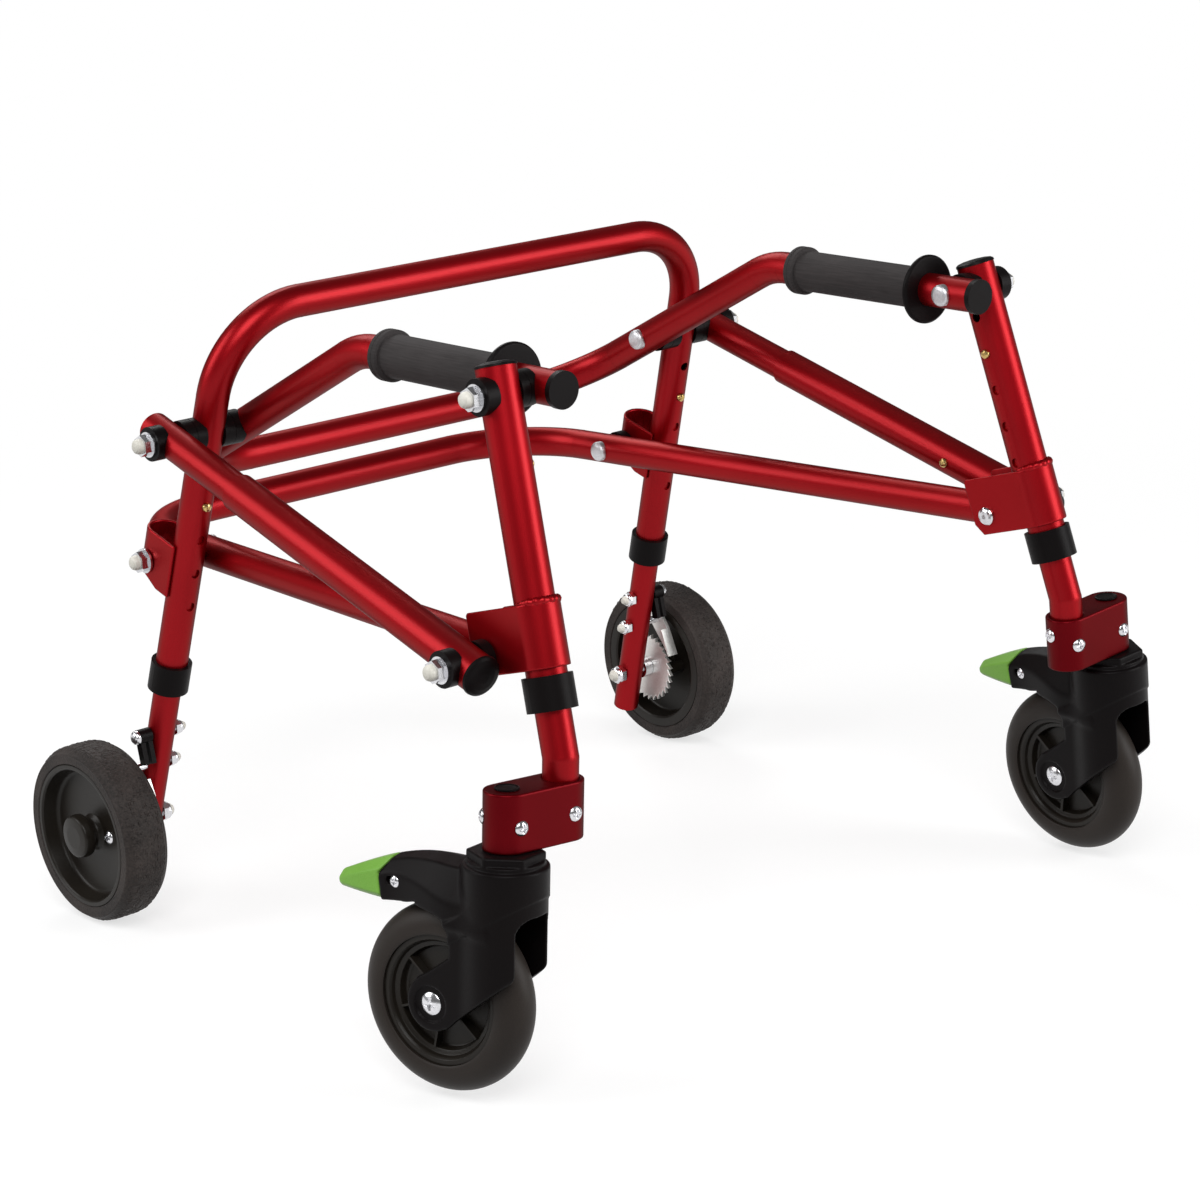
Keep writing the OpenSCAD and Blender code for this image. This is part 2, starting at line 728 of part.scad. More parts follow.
module lower_nut_caps() {
    color(white) both() cap_at(pivot_b_y, pivot_b_z, nut_b_x);
}
module lower_spacers() {
    color(black) both()
        saddle(pivot_b_y, pivot_b_z, lower_x + rail_d/2 - saddle_cup,
            strap_x - strap_half - saddle_d/2*tan(rear_splay) - move_gap)
            lower_cut(seat_gap);
}

// Front posts with their brackets, plugs, collars and saddles
post_len = collar_front_at + collar_len - collar_lip - seat_gap;
module front_posts() {
    color(red) both() difference() {
        post_axis() difference() {
            translate([0, 0, -post_len]) ring(post_d, post_bore, post_len + post_top);
            for (i = [0:hole_count - 1])
                translate([0, 0, -front_hole_first - i*hole_pitch]) rotate([0, -90, 0])
                    cylinder(d = button_d + 2*button_fit, h = post_d);
        }
        x_pin(pivot_c_y, pivot_c_z, post_x - post_d, post_x + post_d, bolt_hole);
    }
}
module front_brackets() {
    color(dark_red) both() difference() {
        post_axis() translate([0, 0, bracket_lift - d_down - bracket_h/2]) difference() {
            linear_extrude(bracket_h) {
                circle(r = bracket_half);
                translate([-bracket_half, 0]) square([2*bracket_half, d_back + bracket_back]);
            }
            translate([0, 0, -cut]) linear_extrude(bracket_h + 2*cut) {
                circle(r = bracket_half - bracket_t);
                translate([bracket_t - bracket_half, 0])
                    square([2*(bracket_half - bracket_t), d_back + bracket_back + cut]);
            }
        }
        post_axis() translate([-2*bracket_half, d_back, -d_down]) rotate([0, 90, 0])
            cylinder(d = bolt_hole, h = 4*bracket_half);
    }
}
module post_cut(gap) {
    post_axis() translate([0, 0, -saddle_d]) cylinder(d = post_d + 2*gap, h = 2*saddle_d);
}
module post_trim() {
    color(black) both() {
        post_axis() {
            translate([0, 0, post_top + seat_gap]) dome(post_d + 2*cap_over, plug_t);
            translate([0, 0, post_top + seat_gap - plug_in/2])
                cylinder(d = post_bore - 2*seat_gap, h = plug_in/2);
            translate([0, 0, -collar_front_at - collar_len]) collar(post_d, front_leg_d);
        }
        saddle(pivot_c_y, pivot_c_z, post_gap_mid + move_gap/2, post_x - post_d/2 + saddle_cup)
            post_cut(seat_gap);
        saddle(pivot_c_y, pivot_c_z, post_x + post_d/2 - saddle_cup, post_x + post_d/2 + saddle_t)
            post_cut(seat_gap);
    }
}
module bracket_screws() {
    color(steel) both() post_axis() translate([-bracket_half - seat_gap, d_back, -d_down])
        rotate([0, -90, 0]) {
        dome(pan_d, pan_h);
        translate([0, 0, -pan_shank]) cylinder(d = bolt_d - 2*seat_gap, h = pan_shank);
    }
}

// Braces: rods that slide in tubes
module brace_rods() {
    color(red) both() difference() {
        brace_axis() difference() {
            translate([0, 0, -rod_tail])
                cylinder(d = rod_d, h = rod_tail + brace_button_at + rod_past_button);
            translate([0, 0, rod_end_t - rod_tail])
                cylinder(d = rod_d - 2*leg_wall, h = rod_tail + brace_len);
            translate([0, 0, brace_button_at]) rotate([0, -90, 0])
                cylinder(d = button_d + 2*button_fit, h = rod_d);
        }
        x_pin(pivot_a_y, pivot_a_z, brace_x - rod_d, brace_x + rod_d, bolt_hole);
    }
}
module rod_cut() {
    brace_axis() translate([0, 0, -saddle_d]) cylinder(d = rod_d + 2*seat_gap, h = 2*saddle_d);
}
module brace_rod_spacers() {
    color(black) both() {
        saddle(pivot_a_y, pivot_a_z, saddle_out_mid + move_gap/2, brace_x - rod_d/2 + saddle_cup) rod_cut();
        saddle(pivot_a_y, pivot_a_z, brace_x + rod_d/2 - saddle_cup, brace_x + rod_d/2 + saddle_t) rod_cut();
    }
}
module brace_tube() {
    color(red) difference() {
        brace_axis() difference() {
            translate([0, 0, tube_start]) ring(brace_d, brace_bore, brace_len - tube_start + tube_nose);
            translate([0, 0, brace_button_at]) rotate([0, -90, 0])
                cylinder(d = button_d + 2*button_fit, h = brace_d);
        }
        x_pin(pivot_d_y, pivot_d_z, brace_dx - brace_d, brace_dx + brace_d, bolt_hole);
    }
}
module tube_cut() {
    brace_axis() translate([0, 0, brace_len - saddle_d]) cylinder(d = brace_d + 2*seat_gap, h = 2*saddle_d);
}
module brace_trim() {
    color(black) {
        brace_axis() translate([0, 0, brace_len + tube_nose + seat_gap]) {
            dome(brace_d + 2*cap_over, cap_t);
            translate([0, 0, -plug_in/2]) cylinder(d = brace_bore - 2*seat_gap, h = plug_in/2);
        }
        saddle(pivot_d_y, pivot_d_z, brace_dx - brace_d/2 - brace_stand, brace_dx - brace_d/2 + saddle_cup)
            tube_cut();
        saddle(pivot_d_y, pivot_d_z, brace_dx + brace_d/2 - saddle_cup, brace_dx + brace_d/2 + saddle_t)
            tube_cut();
    }
}
module brace_bolt() {
    color(steel) {
        x_pin(pivot_d_y, pivot_d_z, brace_dx - brace_d/2 - brace_stand, nut_d_x + shank_out, bolt_d);
        nut_at(pivot_d_y, pivot_d_z, nut_d_x);
    }
}
module brace_nut_cap() {
    color(white) cap_at(pivot_d_y, pivot_d_z, nut_d_x);
}

// Snap button whose foot sits in a tube of bore radius r_in under a tube of outside radius r_out
module snap_button(r_in, r_out) {
    color(gold) {
        translate([0, 0, r_in - button_in]) cylinder(d = button_d, h = r_out - r_in + button_in);
        translate([0, 0, r_out]) dome(button_d, button_proud);
        translate([0, 0, sqrt(r_in*r_in - button_flange_d*button_flange_d/4) - move_gap - button_flange_t])
            cylinder(d = button_flange_d, h = button_flange_t);
    }
}
module rear_button() {
    leg_axis() translate([0, 0, -rear_button_at]) rotate([90, 0, 0])
        snap_button(rear_leg_d/2 - leg_wall, hoop_d/2);
}
module front_button() {
    post_axis() translate([0, 0, -front_button_at]) rotate([0, -90, 0])
        snap_button(front_leg_d/2 - leg_wall, post_d/2);
}
module brace_button() {
    brace_axis() translate([0, 0, brace_button_at]) rotate([0, -90, 0])
        snap_button(rod_d/2 - leg_wall, brace_d/2);
}

// Rear legs, their bolts, pawls and wheels
module rear_leg() {
    color(red) difference() {
        leg_axis() difference() {
            translate([0, 0, -axle_at - rear_leg_end])
                ring(rear_leg_d, rear_leg_d - 2*leg_wall, axle_at + rear_leg_end - rear_button_at + leg_tip);
            translate([0, 0, -rear_button_at]) rotate([90, 0, 0])
                cylinder(d = button_d + 2*button_fit, h = rear_leg_d);
            translate([0, 0, -axle_at - rear_leg_end - cut]) cylinder(d = socket_d, h = socket_len + cut);
        }
        for (t = [rear_bolt_1_at, rear_bolt_2_at])
            x_pin(leg_y(t), leg_z(t), leg_x(t) - rear_leg_d, leg_x(t) + rear_leg_d, rear_bolt_d + 2*pin_fit);
        x_pin(leg_y(axle_at), leg_z(axle_at), leg_x(axle_at) - rear_leg_d, leg_x(axle_at) + rear_leg_d,
            axle_d + 2*pin_fit);
    }
}
rear_seat = rear_leg_d/2/cos(rear_splay) + washer_d/2*tan(rear_splay) + seat_gap;
lever_set = rear_leg_d/2/cos(rear_splay) + lever_d/2*tan(rear_splay) + move_gap;
// Bolt along X through a rear leg: an acorn nut on the inner side, the shank out to x1
module rear_bolt(t, d, af, h, x1) {
    translate([leg_x(t) - rear_seat, leg_y(t), leg_z(t)]) rotate([0, -90, 0]) {
        cylinder(d = af/cos(30), h = h/2, $fn = 6);
        translate([0, 0, h/2]) dome(af, h/2);
    }
    x_pin(leg_y(t), leg_z(t), leg_x(t) - rear_seat - h/4, x1, d);
}
module rear_leg_bolts() {
    bolt_1_end = leg_x(rear_bolt_1_at) + lever_set + lever_len + move_gap;
    bolt_2_end = leg_x(axle_at) + disc_face + pawl_t + move_gap;
    color(steel) {
        rear_bolt(axle_at, axle_d, nut_af, nut_h + cap_h/2, wheel_x + bore_end - move_gap);
        x_pin(leg_y(axle_at), leg_z(axle_at), leg_x(axle_at) + rear_seat,
            leg_x(axle_at) + disc_face - move_gap,
            sleeve_d);
        rear_bolt(rear_bolt_1_at, rear_bolt_d, rear_nut_af, rear_nut_h, bolt_1_end + head_rim);
        translate([bolt_1_end, leg_y(rear_bolt_1_at), leg_z(rear_bolt_1_at)]) rotate([0, 90, 0])
            dome(lever_head_d, lever_head_h);
        rear_bolt(rear_bolt_2_at, rear_bolt_d, rear_nut_af, rear_nut_h, bolt_2_end + head_rim);
        x_pin(leg_y(rear_bolt_2_at), leg_z(rear_bolt_2_at), bolt_2_end, bolt_2_end + pan_shank, lever_head_d);
    }
}
// Forked lever on the upper bolt: a sleeve along X with two tines that hang down
module pawl_lever() {
    t = rear_bolt_1_at;
    color(black) translate([leg_x(t) + lever_set, leg_y(t), leg_z(t)])
        rotate([-tine_angle, 0, 0]) difference() {
        union() {
            rotate([0, 90, 0]) cylinder(d = lever_d, h = lever_len);
            for (x = [0, lever_len - tine_w])
                translate([x, -tine_t/2, -tine_len]) cube([tine_w, tine_t, tine_len]);
        }
        translate([-cut, 0, 0]) rotate([0, 90, 0])
            cylinder(d = rear_bolt_d + 2*pin_fit, h = lever_len + 2*cut);
    }
}
// Steel pawl on the lower bolt, whose tip rests at the ratchet teeth
module pawl() {
    t = rear_bolt_2_at;
    color(steel) translate([leg_x(axle_at) + disc_face, leg_y(t), leg_z(t)]) rotate([-pawl_angle, 0, 0])
        rotate([0, 90, 0]) difference() {
            union() {
                linear_extrude(pawl_t) {
                    circle(d = pawl_d);
                    polygon([
                        [0, pawl_d/2], [-pawl_d/6, -pawl_d*pawl_heel_share], [pawl_len/3, -pawl_w],
                        [pawl_len*pawl_toe_share, -pawl_w], [pawl_len, -pawl_w*pawl_edge_shares[0]],
                        [pawl_len*pawl_tip_share, -pawl_w*pawl_edge_shares[1]],
                        [pawl_len*pawl_back_share, pawl_w*pawl_edge_shares[2]]
                    ]);
                }
                translate([pawl_len/3, -pawl_w, -pawl_flange])
                    cube([pawl_len*pawl_flange_share, pawl_t/2, pawl_flange + pawl_t/2]);
            }
            translate([0, 0, -cut]) cylinder(d = rear_bolt_d + 2*pin_fit, h = pawl_t + 2*cut);
        }
}
// Outline of a tyre section: flat sides, rounded shoulders, slightly crowned tread
module tyre_profile(r, rim_r, w, shoulder, crown) {
    half = w/2;
    flat = half - shoulder;
    polygon(concat(
        [[rim_r, half], [r - crown - shoulder, half]],
        [for (i = [1:5]) [r - crown - shoulder + shoulder*sin(18*i), flat + shoulder*cos(18*i)]],
        [[r, 0]],
        [for (i = [5:-1:1]) [r - crown - shoulder + shoulder*sin(18*i), -flat - shoulder*cos(18*i)]],
        [[r - crown - shoulder, -half], [rim_r, -half]]
    ));
}
module rear_tyre() {
    color(rubber) wheel_frame() rotate_extrude()
        tyre_profile(rear_wheel_d/2, rear_rim_d/2 + seat_gap, rear_tyre_w, tyre_shoulder, tyre_crown);
}
// Dished rim: outer ring, web set back, hub post with a knob, and the inner hub with its blind bore
module rear_rim() {
    ring_r = rear_rim_d/2;
    half = rim_ring_w/2;
    dish_r = ring_r - rim_ring_t;
    color(black) wheel_frame() rotate_extrude() polygon([
        [rim_bore_r, bore_end], [rim_bore_r, -hub_in], [hub_in_r, -hub_in], [hub_in_r, -web_in],
        [dish_r, -web_in], [dish_r, -half], [ring_r, -half], [ring_r, half], [dish_r, half],
        [dish_r - web_t/2, web_t - web_in], [hub_foot_r, web_t - web_in],
        [hub_r, hub_foot_r - hub_r + web_t - web_in],
        [hub_r, hub_out], [knob_r - knob_edge/2, hub_out], [knob_r, hub_out + knob_edge],
        [knob_r, hub_out + knob_h - 2*knob_edge], [knob_r - knob_edge, hub_out + knob_h - knob_edge/2],
        [0, hub_out + knob_h], [0, bore_end]
    ]);
}
// Ratchet disc on the wheel's inner face, with spacers and the screws that hold it
module ratchet_disc() {
    step = 360/ratchet_teeth;
    root = ratchet_d/2 - ratchet_deep;
    color(steel) wheel_frame() {
        translate([0, 0, -wheel_in - ratchet_gap - ratchet_t]) difference() {
            linear_extrude(ratchet_t) polygon([for (i = [0:ratchet_teeth - 1], k = [0, 1])
                (k == 0 ? ratchet_d/2 : root)*[cos(step*(i + 0.1*k)), sin(step*(i + 0.1*k))]]);
            translate([0, 0, -cut]) cylinder(r = rim_bore_r, h = ratchet_t + 2*cut);
        }
        translate([0, 0, -wheel_in - ratchet_gap])
            ring(2*hub_in_r, 2*rim_bore_r, wheel_in + ratchet_gap - hub_in - seat_gap);
        for (a = [90, 270]) rotate([0, 0, a]) translate([ratchet_screw_r, 0, 0]) {
            translate([0, 0, -wheel_in - ratchet_gap])
                cylinder(d = 2*screw_d, h = wheel_in + ratchet_gap - web_in - seat_gap);
            translate([0, 0, web_t - web_in + seat_gap]) dome(screw_head_d, screw_head_h);
        }
    }
}

// Front legs with offset blocks
module front_leg() {
    color(red) difference() {
        union() {
            post_axis() translate([0, 0, -front_knee])
                cylinder(d = front_leg_d, h = front_knee - front_button_at + leg_tip);
            block_frame() {
                sphere(d = front_leg_d + 2*weld_step);
                translate([0, 0, -block_bottom]) cylinder(d = front_leg_d, h = block_bottom);
            }
        }
        post_axis() {
            translate([0, 0, -front_knee + front_leg_d])
                cylinder(d = front_leg_d - 2*leg_wall, h = front_knee);
            translate([0, 0, -front_button_at]) rotate([0, -90, 0])
                cylinder(d = button_d + 2*button_fit, h = front_leg_d);
        }
    }
}
// Block screws: place across the block, direction round it, height
screw_high = -block_h*screw_high_share;
screw_low = -block_h*screw_low_share;
screws_left = [[0, 180, screw_high], [0, 270, screw_low], [stem_off, 270, screw_high]];
screws_right = [[stem_off, 0, screw_high], [stem_off, 270, screw_low], [0, 270, screw_high]];
module offset_block(screws) {
    color(dark_red) block_frame() {
        translate([0, 0, -block_bottom]) difference() {
            stadium(stem_off, block_r, block_h);
            translate([0, 0, -cut]) {
                cylinder(d = front_leg_d + 2*seat_gap, h = block_h + 2*cut);
                translate([stem_off, 0, 0]) cylinder(d = stem_d + 2*pin_fit, h = block_h + 2*cut);
            }
        }
        for (p = screws)
            translate([p[0], 0, p[2] - knee_drop]) rotate([0, 0, p[1]]) translate([block_r + seat_gap, 0, 0])
                rotate([0, 90, 0]) dome(2*block_screw_r, block_screw_h);
    }
}

// Casters
// Side view of the fork: a straight lower edge from the front to the round ends at the axle
module fork_side() {
    translate([caster_trail, -axle_drop]) circle(r = boss_r);
    polygon([
        [-plate_front - cut, 0], [-plate_front - cut, -plate_low],
        [caster_trail - boss_r*sin(boss_lean), -axle_drop - boss_r*cos(boss_lean)],
        [caster_trail + boss_r*sin(boss_lean), -axle_drop + boss_r*cos(boss_lean)],
        [plate_back, -plate_knee], [plate_back, 0]
    ]);
}
// Round column with two legs behind it, cut through by the tunnel in which the wheel turns
module fork_column() {
    deep = axle_drop + 2*boss_r;
    difference() {
        intersection() {
            union() {
                translate([0, 0, -deep]) cylinder(d = fork_head_d, h = deep - hex_h - step_h/2);
                translate([-plate_out, 0, -deep])
                    cube([2*plate_out, caster_trail + 2*boss_r, deep - plate_top]);
            }
            translate([-fork_head_d, 0, 0]) rotate([90, 0, 90]) linear_extrude(2*fork_head_d) fork_side();
        }
        translate([0, caster_trail + 2*boss_r + cut, 0]) rotate([90, 0, 0])
            linear_extrude(caster_trail + 2*boss_r + fork_head_d) polygon([
                [-plate_in, -deep - cut], [plate_in, -deep - cut], [plate_in, -arch_low - arch_chamfer],
                [plate_in - arch_chamfer, -arch_low], [arch_chamfer - plate_in, -arch_low],
                [-plate_in, -arch_low - arch_chamfer]
            ]);
        translate([-fork_head_d, caster_trail, -axle_drop]) rotate([0, 90, 0])
            cylinder(d = axle_d + 2*pin_fit, h = 2*fork_head_d);
        for (a = [-90, 90]) translate([0, caster_trail, -axle_drop]) rotate([0, a, 0])
            translate([0, 0, plate_out - boss_recess]) cylinder(r = boss_recess_r, h = boss_recess + cut);
    }
}
// Arm behind the head, seen from the side, and its pocket for the lock's tongue with the screw's slots
module fork_arm() {
    translate([-arm_w/2, 0, 0]) rotate([90, 0, 90]) linear_extrude(arm_w) polygon([
        [0, -arm_top_root], [arm_len*arm_flat_share, -arm_top_root], [arm_len*arm_mid_share, -arm_top_mid],
        [arm_len, -arm_top_tip], [arm_len, -arm_low_tip], [arm_len*arm_knee_share, -arm_low_root],
        [0, -arm_low_root]
    ]);
}
module lock_pocket() {
    translate([-lock_tongue_w/2 - move_gap, arm_len - lock_tongue_len - move_gap,
        -lock_mid - lock_tongue_h/2 - move_gap])
        cube([lock_tongue_w + 2*move_gap, lock_tongue_len + move_gap + cut, lock_tongue_h + 2*move_gap]);
    slot_r = lock_pin_d/2 + move_gap;
    translate([-arm_w/2 - cut, arm_len - lock_pin_in, -lock_mid]) rotate([90, 0, 90])
        stadium(lock_travel, slot_r, arm_w + 2*cut);
}
module caster_fork(yaw) {
    color(black) caster_frame(yaw) difference() {
        union() {
            translate([0, 0, -move_gap - hex_h]) cylinder(d = hex_d, h = hex_h, $fn = 6);
            translate([0, 0, -hex_h - step_h]) cylinder(d = step_d, h = step_h);
            translate([0, 0, -move_gap - hex_h/2]) cylinder(d = stem_d, h = block_h + 2*move_gap + hex_h/2);
            translate([0, 0, block_h + move_gap]) dome(stem_cap_d, stem_cap_h);
            fork_arm();
            fork_column();
        }
        lock_pocket();
    }
}
module caster_axle(yaw) {
    color(steel) caster_frame(yaw) {
        translate([0, caster_trail, -axle_drop]) {
            rotate([0, 90, 0]) translate([0, 0, boss_recess - plate_out - 2*seat_gap])
                cylinder(d = axle_d, h = 2*(plate_out - boss_recess + 2*seat_gap));
            for (s = [-90, 90]) rotate([0, s, 0]) translate([0, 0, plate_out - boss_recess + seat_gap])
                dome(2*axle_head_r, axle_head_h);
        }
    }
}
module caster_wheel_frame(yaw) {
    caster_frame(yaw) translate([0, caster_trail, -axle_drop]) rotate([0, 90, 0]) children();
}
module caster_rim(yaw) {
    hub_half = plate_in - move_gap;
    color(black) caster_wheel_frame(yaw) {
        difference() {
            union() {
                translate([0, 0, -hub_half]) cylinder(r = caster_hub_r, h = 2*hub_half);
                translate([0, 0, -caster_web_t/2])
                    cylinder(r = caster_rim_r - caster_ring_t/3, h = caster_web_t);
                for (i = [0:caster_rib_count - 1]) rotate([0, 0, i*360/caster_rib_count])
                    translate([caster_hub_r*rib_root_share, -caster_rib_t/2, -caster_tyre_r*rib_share])
                        cube([caster_rim_r - caster_ring_t/2 - caster_hub_r*rib_root_share, caster_rib_t,
                            2*caster_tyre_r*rib_share]);
                translate([0, 0, -caster_tyre_r*tyre_hole_share])
                    ring(2*caster_rim_r, 2*(caster_rim_r - caster_ring_t), 2*caster_tyre_r*tyre_hole_share);
            }
            translate([0, 0, -hub_half - cut]) cylinder(r = rim_bore_r, h = 2*(hub_half + cut));
        }
    }
}
// Round rubber tyre on the rim's ring
module caster_tyre(yaw) {
    half = caster_tyre_r*tyre_hole_share;
    mid = caster_r - caster_tyre_r;
    color(rubber) caster_wheel_frame(yaw) rotate_extrude() difference() {
        translate([mid, 0]) circle(r = caster_tyre_r);
        translate([mid - 2*caster_tyre_r, -caster_tyre_r - cut])
            square([caster_rim_r + seat_gap - mid + 2*caster_tyre_r, 2*(caster_tyre_r + cut)]);
    }
}
// Green lock: a beak at the arm's end, a tongue that slides in the arm and a screw through the slots
module swivel_lock(yaw) {
    y0 = arm_len + move_gap;
    y1 = arm_len + lock_len;
    color(green) caster_frame(yaw) {
        intersection() {
            translate([-arm_w/2, 0, 0]) rotate([90, 0, 90]) linear_extrude(arm_w) polygon([
                [y0, -arm_top_tip],
                [y0 + lock_len*beak_brow_share, -arm_top_tip - beak_drop],
                [y1, -beak_top],
                [y1, -beak_low], [y0 + lock_len*beak_chin_share, -arm_low_tip], [y0, -arm_low_tip]
            ]);
            translate([0, 0, -2*arm_low_tip]) linear_extrude(2*arm_low_tip) polygon([
                [-arm_w/2, y0], [arm_w/2, y0], [arm_w/2, y0 + lock_len*beak_cheek_share], [beak_w/2, y1],
                [-beak_w/2, y1], [-arm_w/2, y0 + lock_len*beak_cheek_share]
            ]);
        }
        translate([-lock_tongue_w/2, arm_len - lock_tongue_len, -lock_mid - lock_tongue_h/2])
            cube([lock_tongue_w, lock_tongue_len + move_gap + lock_edge, lock_tongue_h]);
        translate([0, arm_len - lock_pin_in, -lock_mid]) {
            translate([-arm_w/2 - move_gap, 0, 0]) rotate([0, 90, 0])
                cylinder(d = lock_pin_d, h = arm_w + 2*move_gap);
            for (a = [-90, 90]) rotate([0, a, 0]) translate([0, 0, arm_w/2 + move_gap])
                dome(2*lock_screw_r, lock_screw_h);
        }
    }
}

// Everything stands where its box is centred on the origin
module placed() {
    translate([centre_x, centre_y, 0]) children();
}

placed() rear_hoop();
placed() rear_brackets();
placed() rear_trim();
placed() handle_rail();
placed() grips();
placed() handle_trim();
placed() handle_bolts();
placed() handle_nut_caps();
placed() lower_rail();
placed() lower_bolts();
placed() lower_nut_caps();
placed() lower_spacers();
placed() front_posts();
placed() front_brackets();
placed() post_trim();
placed() bracket_screws();
placed() brace_rods();
placed() brace_rod_spacers();
placed() right() brace_tube();  // brace_tube_right
placed() brace_tube();  // brace_tube_left
placed() right() brace_trim();  // brace_trim_right
placed() brace_trim();  // brace_trim_left
placed() right() brace_bolt();  // brace_bolt_right
placed() brace_bolt();  // brace_bolt_left
placed() right() brace_nut_cap();  // brace_nut_cap_right
placed() brace_nut_cap();  // brace_nut_cap_left
placed() right() brace_button();  // brace_button_right
placed() brace_button();  // brace_button_left
placed() right() rear_leg();  // rear_leg_right
placed() rear_leg();  // rear_leg_left
placed() right() rear_leg_bolts();  // rear_leg_bolts_right
placed() rear_leg_bolts();  // rear_leg_bolts_left
placed() right() rear_button();  // rear_button_right
placed() rear_button();  // rear_button_left
placed() right() pawl_lever();  // pawl_lever_right
placed() pawl_lever();  // pawl_lever_left
placed() right() pawl();  // pawl_right
placed() pawl();  // pawl_left
placed() right() rear_tyre();  // rear_tyre_right
placed() rear_tyre();  // rear_tyre_left
placed() right() rear_rim();  // rear_rim_right
placed() rear_rim();  // rear_rim_left
placed() right() ratchet_disc();  // ratchet_disc_right
placed() ratchet_disc();  // ratchet_disc_left
placed() right() front_leg();  // front_leg_right
placed() front_leg();  // front_leg_left
placed() right() offset_block(screws_right);  // offset_block_right
placed() offset_block(screws_left);  // offset_block_left
placed() right() front_button();  // front_button_right
placed() front_button();  // front_button_left
placed() right() caster_fork(caster_yaw_right);  // caster_fork_right
placed() caster_fork(caster_yaw_left);  // caster_fork_left
placed() right() caster_axle(caster_yaw_right);  // caster_axle_right
placed() caster_axle(caster_yaw_left);  // caster_axle_left
placed() right() caster_rim(caster_yaw_right);  // caster_rim_right
placed() caster_rim(caster_yaw_left);  // caster_rim_left
placed() right() caster_tyre(caster_yaw_right);  // caster_tyre_right
placed() caster_tyre(caster_yaw_left);  // caster_tyre_left
placed() right() swivel_lock(caster_yaw_right);  // swivel_lock_right
placed() swivel_lock(caster_yaw_left);  // swivel_lock_left
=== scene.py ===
import json
import math

import bpy
import numpy as np
from mathutils import Matrix, Vector


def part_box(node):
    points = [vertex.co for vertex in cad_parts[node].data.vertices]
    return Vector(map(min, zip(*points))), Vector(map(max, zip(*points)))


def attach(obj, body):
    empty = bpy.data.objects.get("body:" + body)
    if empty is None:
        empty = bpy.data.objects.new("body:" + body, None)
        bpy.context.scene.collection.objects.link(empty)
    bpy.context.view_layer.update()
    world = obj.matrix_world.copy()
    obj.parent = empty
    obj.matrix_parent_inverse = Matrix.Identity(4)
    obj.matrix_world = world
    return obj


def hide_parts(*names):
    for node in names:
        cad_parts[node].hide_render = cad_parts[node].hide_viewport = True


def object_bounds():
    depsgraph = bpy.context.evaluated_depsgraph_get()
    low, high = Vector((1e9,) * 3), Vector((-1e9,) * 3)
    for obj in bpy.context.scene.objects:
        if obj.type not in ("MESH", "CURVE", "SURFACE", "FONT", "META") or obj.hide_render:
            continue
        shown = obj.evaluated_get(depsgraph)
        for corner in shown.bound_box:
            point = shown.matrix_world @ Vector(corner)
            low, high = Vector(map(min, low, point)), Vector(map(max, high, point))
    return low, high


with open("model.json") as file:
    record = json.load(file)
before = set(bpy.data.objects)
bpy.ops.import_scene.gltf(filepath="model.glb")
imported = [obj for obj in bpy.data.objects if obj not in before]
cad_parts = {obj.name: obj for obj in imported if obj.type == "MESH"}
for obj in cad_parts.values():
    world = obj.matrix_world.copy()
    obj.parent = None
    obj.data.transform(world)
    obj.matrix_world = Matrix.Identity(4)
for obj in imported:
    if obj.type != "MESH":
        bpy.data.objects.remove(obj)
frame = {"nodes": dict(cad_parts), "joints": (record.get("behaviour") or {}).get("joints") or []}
cad_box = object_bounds()
nodes = frame["nodes"]
joints = {joint["name"]: joint for joint in frame["joints"]}

# Sizes are in millimetres up to the studio, and build() turns them into metres.
# Pieces are drawn on the left side, at +X, and mirrored for the right.
MM = 0.001
TINY = 1e-6


# Places, from the frame's joints and boxes
def rot(axis, degrees):
    return Matrix.Rotation(math.radians(degrees), 4, axis)


def move(x, y, z):
    return Matrix.Translation((x, y, z))


MIDDLE = joints["handle_fold"]["pos_m"][0] / MM
SIDES = {"right": move(2 * MIDDLE, 0, 0) @ Matrix.Scale(-1, 4, (1, 0, 0)), "left": Matrix.Identity(4)}


def joint_at(name, side="left"):
    """The place of one side's joint, brought over to the left."""
    return SIDES[side] @ (Vector(joints[f"{name}_{side}"]["pos_m"]) / MM)


def joint_along(name, side="left"):
    """The direction of one side's joint, brought over to the left."""
    return SIDES[side].to_3x3() @ Vector(joints[f"{name}_{side}"]["axis"])


def axes(origin, x, y, z):
    """The frame at an origin with three directions."""
    return Matrix.Translation(origin) @ Matrix((x, y, z)).transposed().to_4x4()


def beside(line, pivot):
    """The frame slid along its Z until a pivot, in side view, lies on its Y, and how far back that is."""
    up, back = line.col[2].yz, line.col[1].yz
    here = line @ move(0, 0, (pivot - line.translation).yz.dot(up) / up.dot(up))
    return here, (pivot - here.translation).yz.dot(back)


def node_box(name):
    """The corners of a CAD node's box, in millimetres."""
    return [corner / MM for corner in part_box(name)]


# Rear leg, wheel and strap
leg_up, leg_back = -joint_along("rear_height"), joint_along("rear_press")
leg_frame = axes(joint_at("lever_turn"), leg_back.cross(leg_up), leg_back, leg_up)
wheel_frame = Matrix.Translation(joint_at("rear_wheel_spin")) @ rot("Y", 90)
PIVOT_B = Vector(joints["lower_fold"]["pos_m"]) / MM
strap_frame, STRAP_BACK = beside(leg_frame, PIVOT_B)

# Offset block, with the caster's stem at one end and the front leg's knee above the other
BLOCK_H, BLOCK_R, STEM_OFF, KNEE_UP = 36.5, 14.3, 41.5, 12.0
stem_up, straight_back = joint_along("caster_swivel"), Vector((0, 1, 0))
stem_frame = axes(joint_at("caster_swivel"), straight_back.cross(stem_up), straight_back, stem_up)
block_frame = stem_frame @ move(-STEM_OFF, 0, BLOCK_H)

